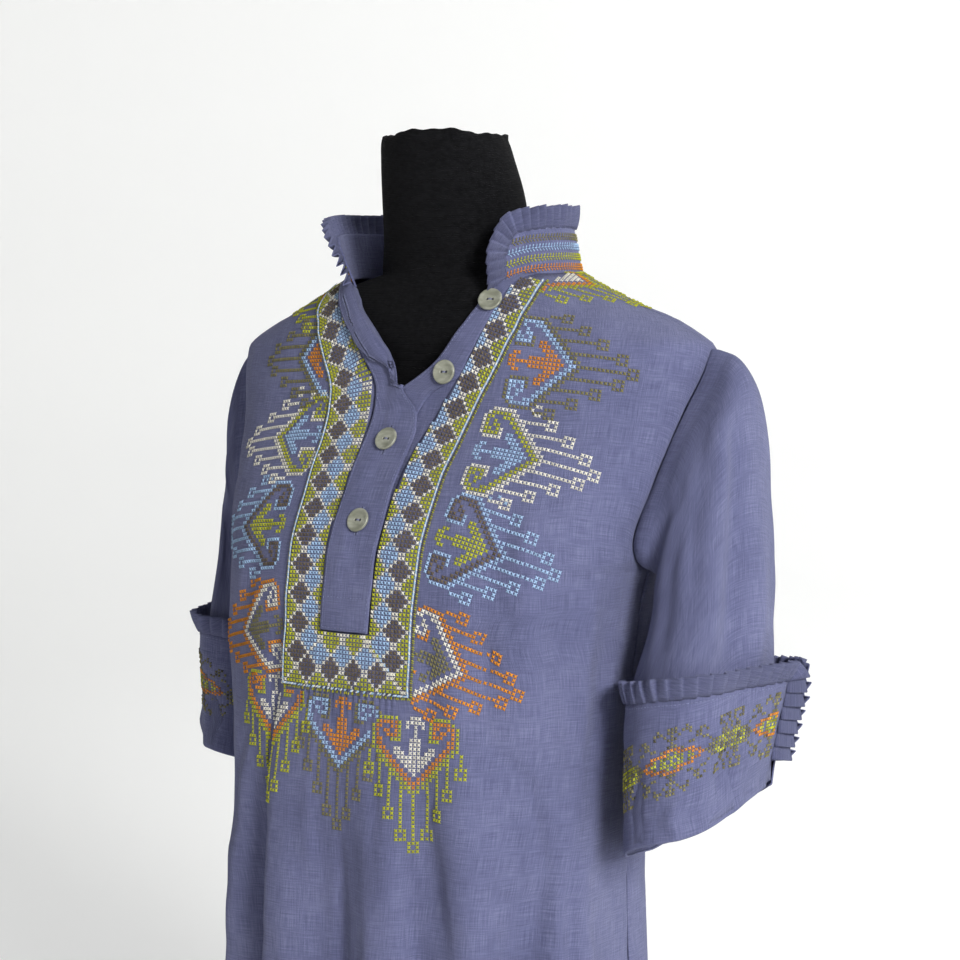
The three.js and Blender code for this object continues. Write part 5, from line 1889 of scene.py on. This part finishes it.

# %% [markdown]
# ## Floor and light
# A pale round floor rises at its rim like a bowl, so it is the background from every side. Its colour is
# painted shade, greyer on one side and paler on the other, and it glows faintly as painted light. The light is
# a large soft key from the wearer's left, a faint fill from the other side, and one light for the backdrop
# alone.

# %% Studio
FLOOR_PROFILE = [(0, 0), (3.0, 0), (3.8, 0.06), (4.5, 0.35), (5.0, 0.9), (5.2, 1.8), (5.25, 4.5)]
points, faces = spun(FLOOR_PROFILE, 96)
floor = mesh_object("floor", points, [f[::-1] for f in faces])
floor_finish, floor_tree, floor_shader = finish("floor")
place = node(floor_tree, "ShaderNodeTexCoord").outputs["Object"]
# Painted shade and light: the floor is paler along this direction and greyer the other way, for the light's
# falloff.
PAINTED_LIGHT_WAY = (0.062, 0.135, 0.02)  # the floor grows paler this way
fade = node(floor_tree, "ShaderNodeVectorMath", {0: place, 1: PAINTED_LIGHT_WAY}, operation="DOT_PRODUCT")
away = fade.outputs["Value"]
# The ramp from grey through pale to white is painted shade and light on the floor, not its own colour.
painted_shade_grey, pale, white = (0.56, 0.56, 0.55), (0.86, 0.86, 0.845), (0.95, 0.95, 0.94)
paint = ramp(floor_tree, maths(floor_tree, "ADD", away, 0.5), (0.0, painted_shade_grey), (0.55, pale), (1, white))
floor_tree.links.new(paint, floor_shader.inputs["Base Color"])
# The faint emission is painted light: the floor glows, though it is no lamp, to brighten the backdrop.
feel(floor_shader, Roughness=0.9, Emission_Color=(1, 1, 0.985, 1), Emission_Strength=0.12)
floor.data.materials.append(floor_finish)


def soft_light(name, place, aim, size, power, colour=(1, 1, 1)):
    lamp = bpy.data.lights.new(name, "AREA")
    lamp.shape, lamp.size, lamp.energy, lamp.color = "DISK", size, power, colour
    made = bpy.data.objects.new(name, lamp)
    made.location = place
    made.rotation_euler = (Vector(aim) - Vector(place)).to_track_quat("-Z", "Y").to_euler()
    bpy.context.scene.collection.objects.link(made)


soft_light("key", (2.7, -1.5, 1.7), (0, 0, 0.5), 1.0, 112)
soft_light("fill", (-2.2, -2.2, 1.4), (0, 0, 0.5), 2.4, 1.5, (0.95, 0.97, 1))
soft_light("backdrop", (0.9, 1.8, 2.8), (-0.6, 3.6, 0.2), 2.0, 55)
world = bpy.data.worlds.new("studio")
bpy.context.scene.world = world
world.use_nodes = True
world.node_tree.nodes["Background"].inputs["Color"].default_value = (0.93, 0.95, 1.0, 1)
world.node_tree.nodes["Background"].inputs["Strength"].default_value = 0.3

# %% Tie the pieces to the frame
REPLACED = {
    "front": front, "back": back, "collar": collar, "collar_frill": collar_frill, "bib": band,
    "placket_under": under, "placket_top": top, "form": form,
    "sleeve_left": sleeves["left"], "sleeve_right": sleeves["right"],
    "cuff_left": cuffs["left"], "cuff_right": cuffs["right"],
    "cuff_frill_left": cuff_frills["left"], "cuff_frill_right": cuff_frills["right"],
    **buttons,
}
for name, piece in REPLACED.items():
    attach(piece, "root")
    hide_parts(name)

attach(lapel, "root")
EMBROIDERY = [*motif_pieces.values(), lattice, cord, whip, collar_braids, *cuff_pieces.values()]
SEWING = [
    placket_thread, collar_thread, *cuff_threads.values(), *hem_threads.values(), hole_bars, button_thread,
]
for pieces, slot in ((EMBROIDERY, "band"), (SEWING, "linen")):
    for piece in pieces:
        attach(piece, "root")

# %% The cut of each cloth
# The flat width and length that each piece is cut to, in metres, its area, how it is held and what carries it.
CUTS = [
    (front, (0.57, 0.71), 0.36, "draped", [form], [*motif_pieces.values(), cord, whip, hem_threads["front"]]),
    (back, (0.51, 0.71), 0.33, "draped", [form], [hem_threads["back"]]),
    (band, (0.2, 0.31), 0.022, "laid", [front], [lattice]),
    (top, (0.046, 0.21), 0.0085, "laid", [band, under], [placket_thread, hole_bars]),
    (under, (0.045, 0.125), 0.0025, "laid", [front], [button_thread]),
    (lapel, (0.045, 0.1), 0.0025, "folded", [band], []),
    (collar, (0.4, 0.035), 0.0132, "folded", [front, back], [collar_braids, collar_thread]),
    (collar_frill, (0.93, 0.016), 0.014, "gathered", [collar], []),
]
SLEEVE_CUTS = {
    "left": ((0.37, 0.33), 0.09, (0.43, 0.085), 0.034, (0.78, 0.0155), 0.0117),
    "right": ((0.33, 0.31), 0.07, (0.38, 0.085), 0.0285, (0.72, 0.0155), 0.0108),
}
for side, (sleeve_flat, sleeve_area, cuff_flat, cuff_area, frill_flat, frill_area) in SLEEVE_CUTS.items():
    CUTS += [
        (sleeves[side], sleeve_flat, sleeve_area, "hung", [front, back], []),
        (cuffs[side], cuff_flat, cuff_area, "folded", [sleeves[side]], [cuff_pieces[side], cuff_threads[side]]),
        (cuff_frills[side], frill_flat, frill_area, "gathered", [cuffs[side]], []),
    ]
for piece, flat, area, held, carriers, trims in CUTS:
    print(piece.name, "is", cloth_area(piece), "m2, cut from", flat)
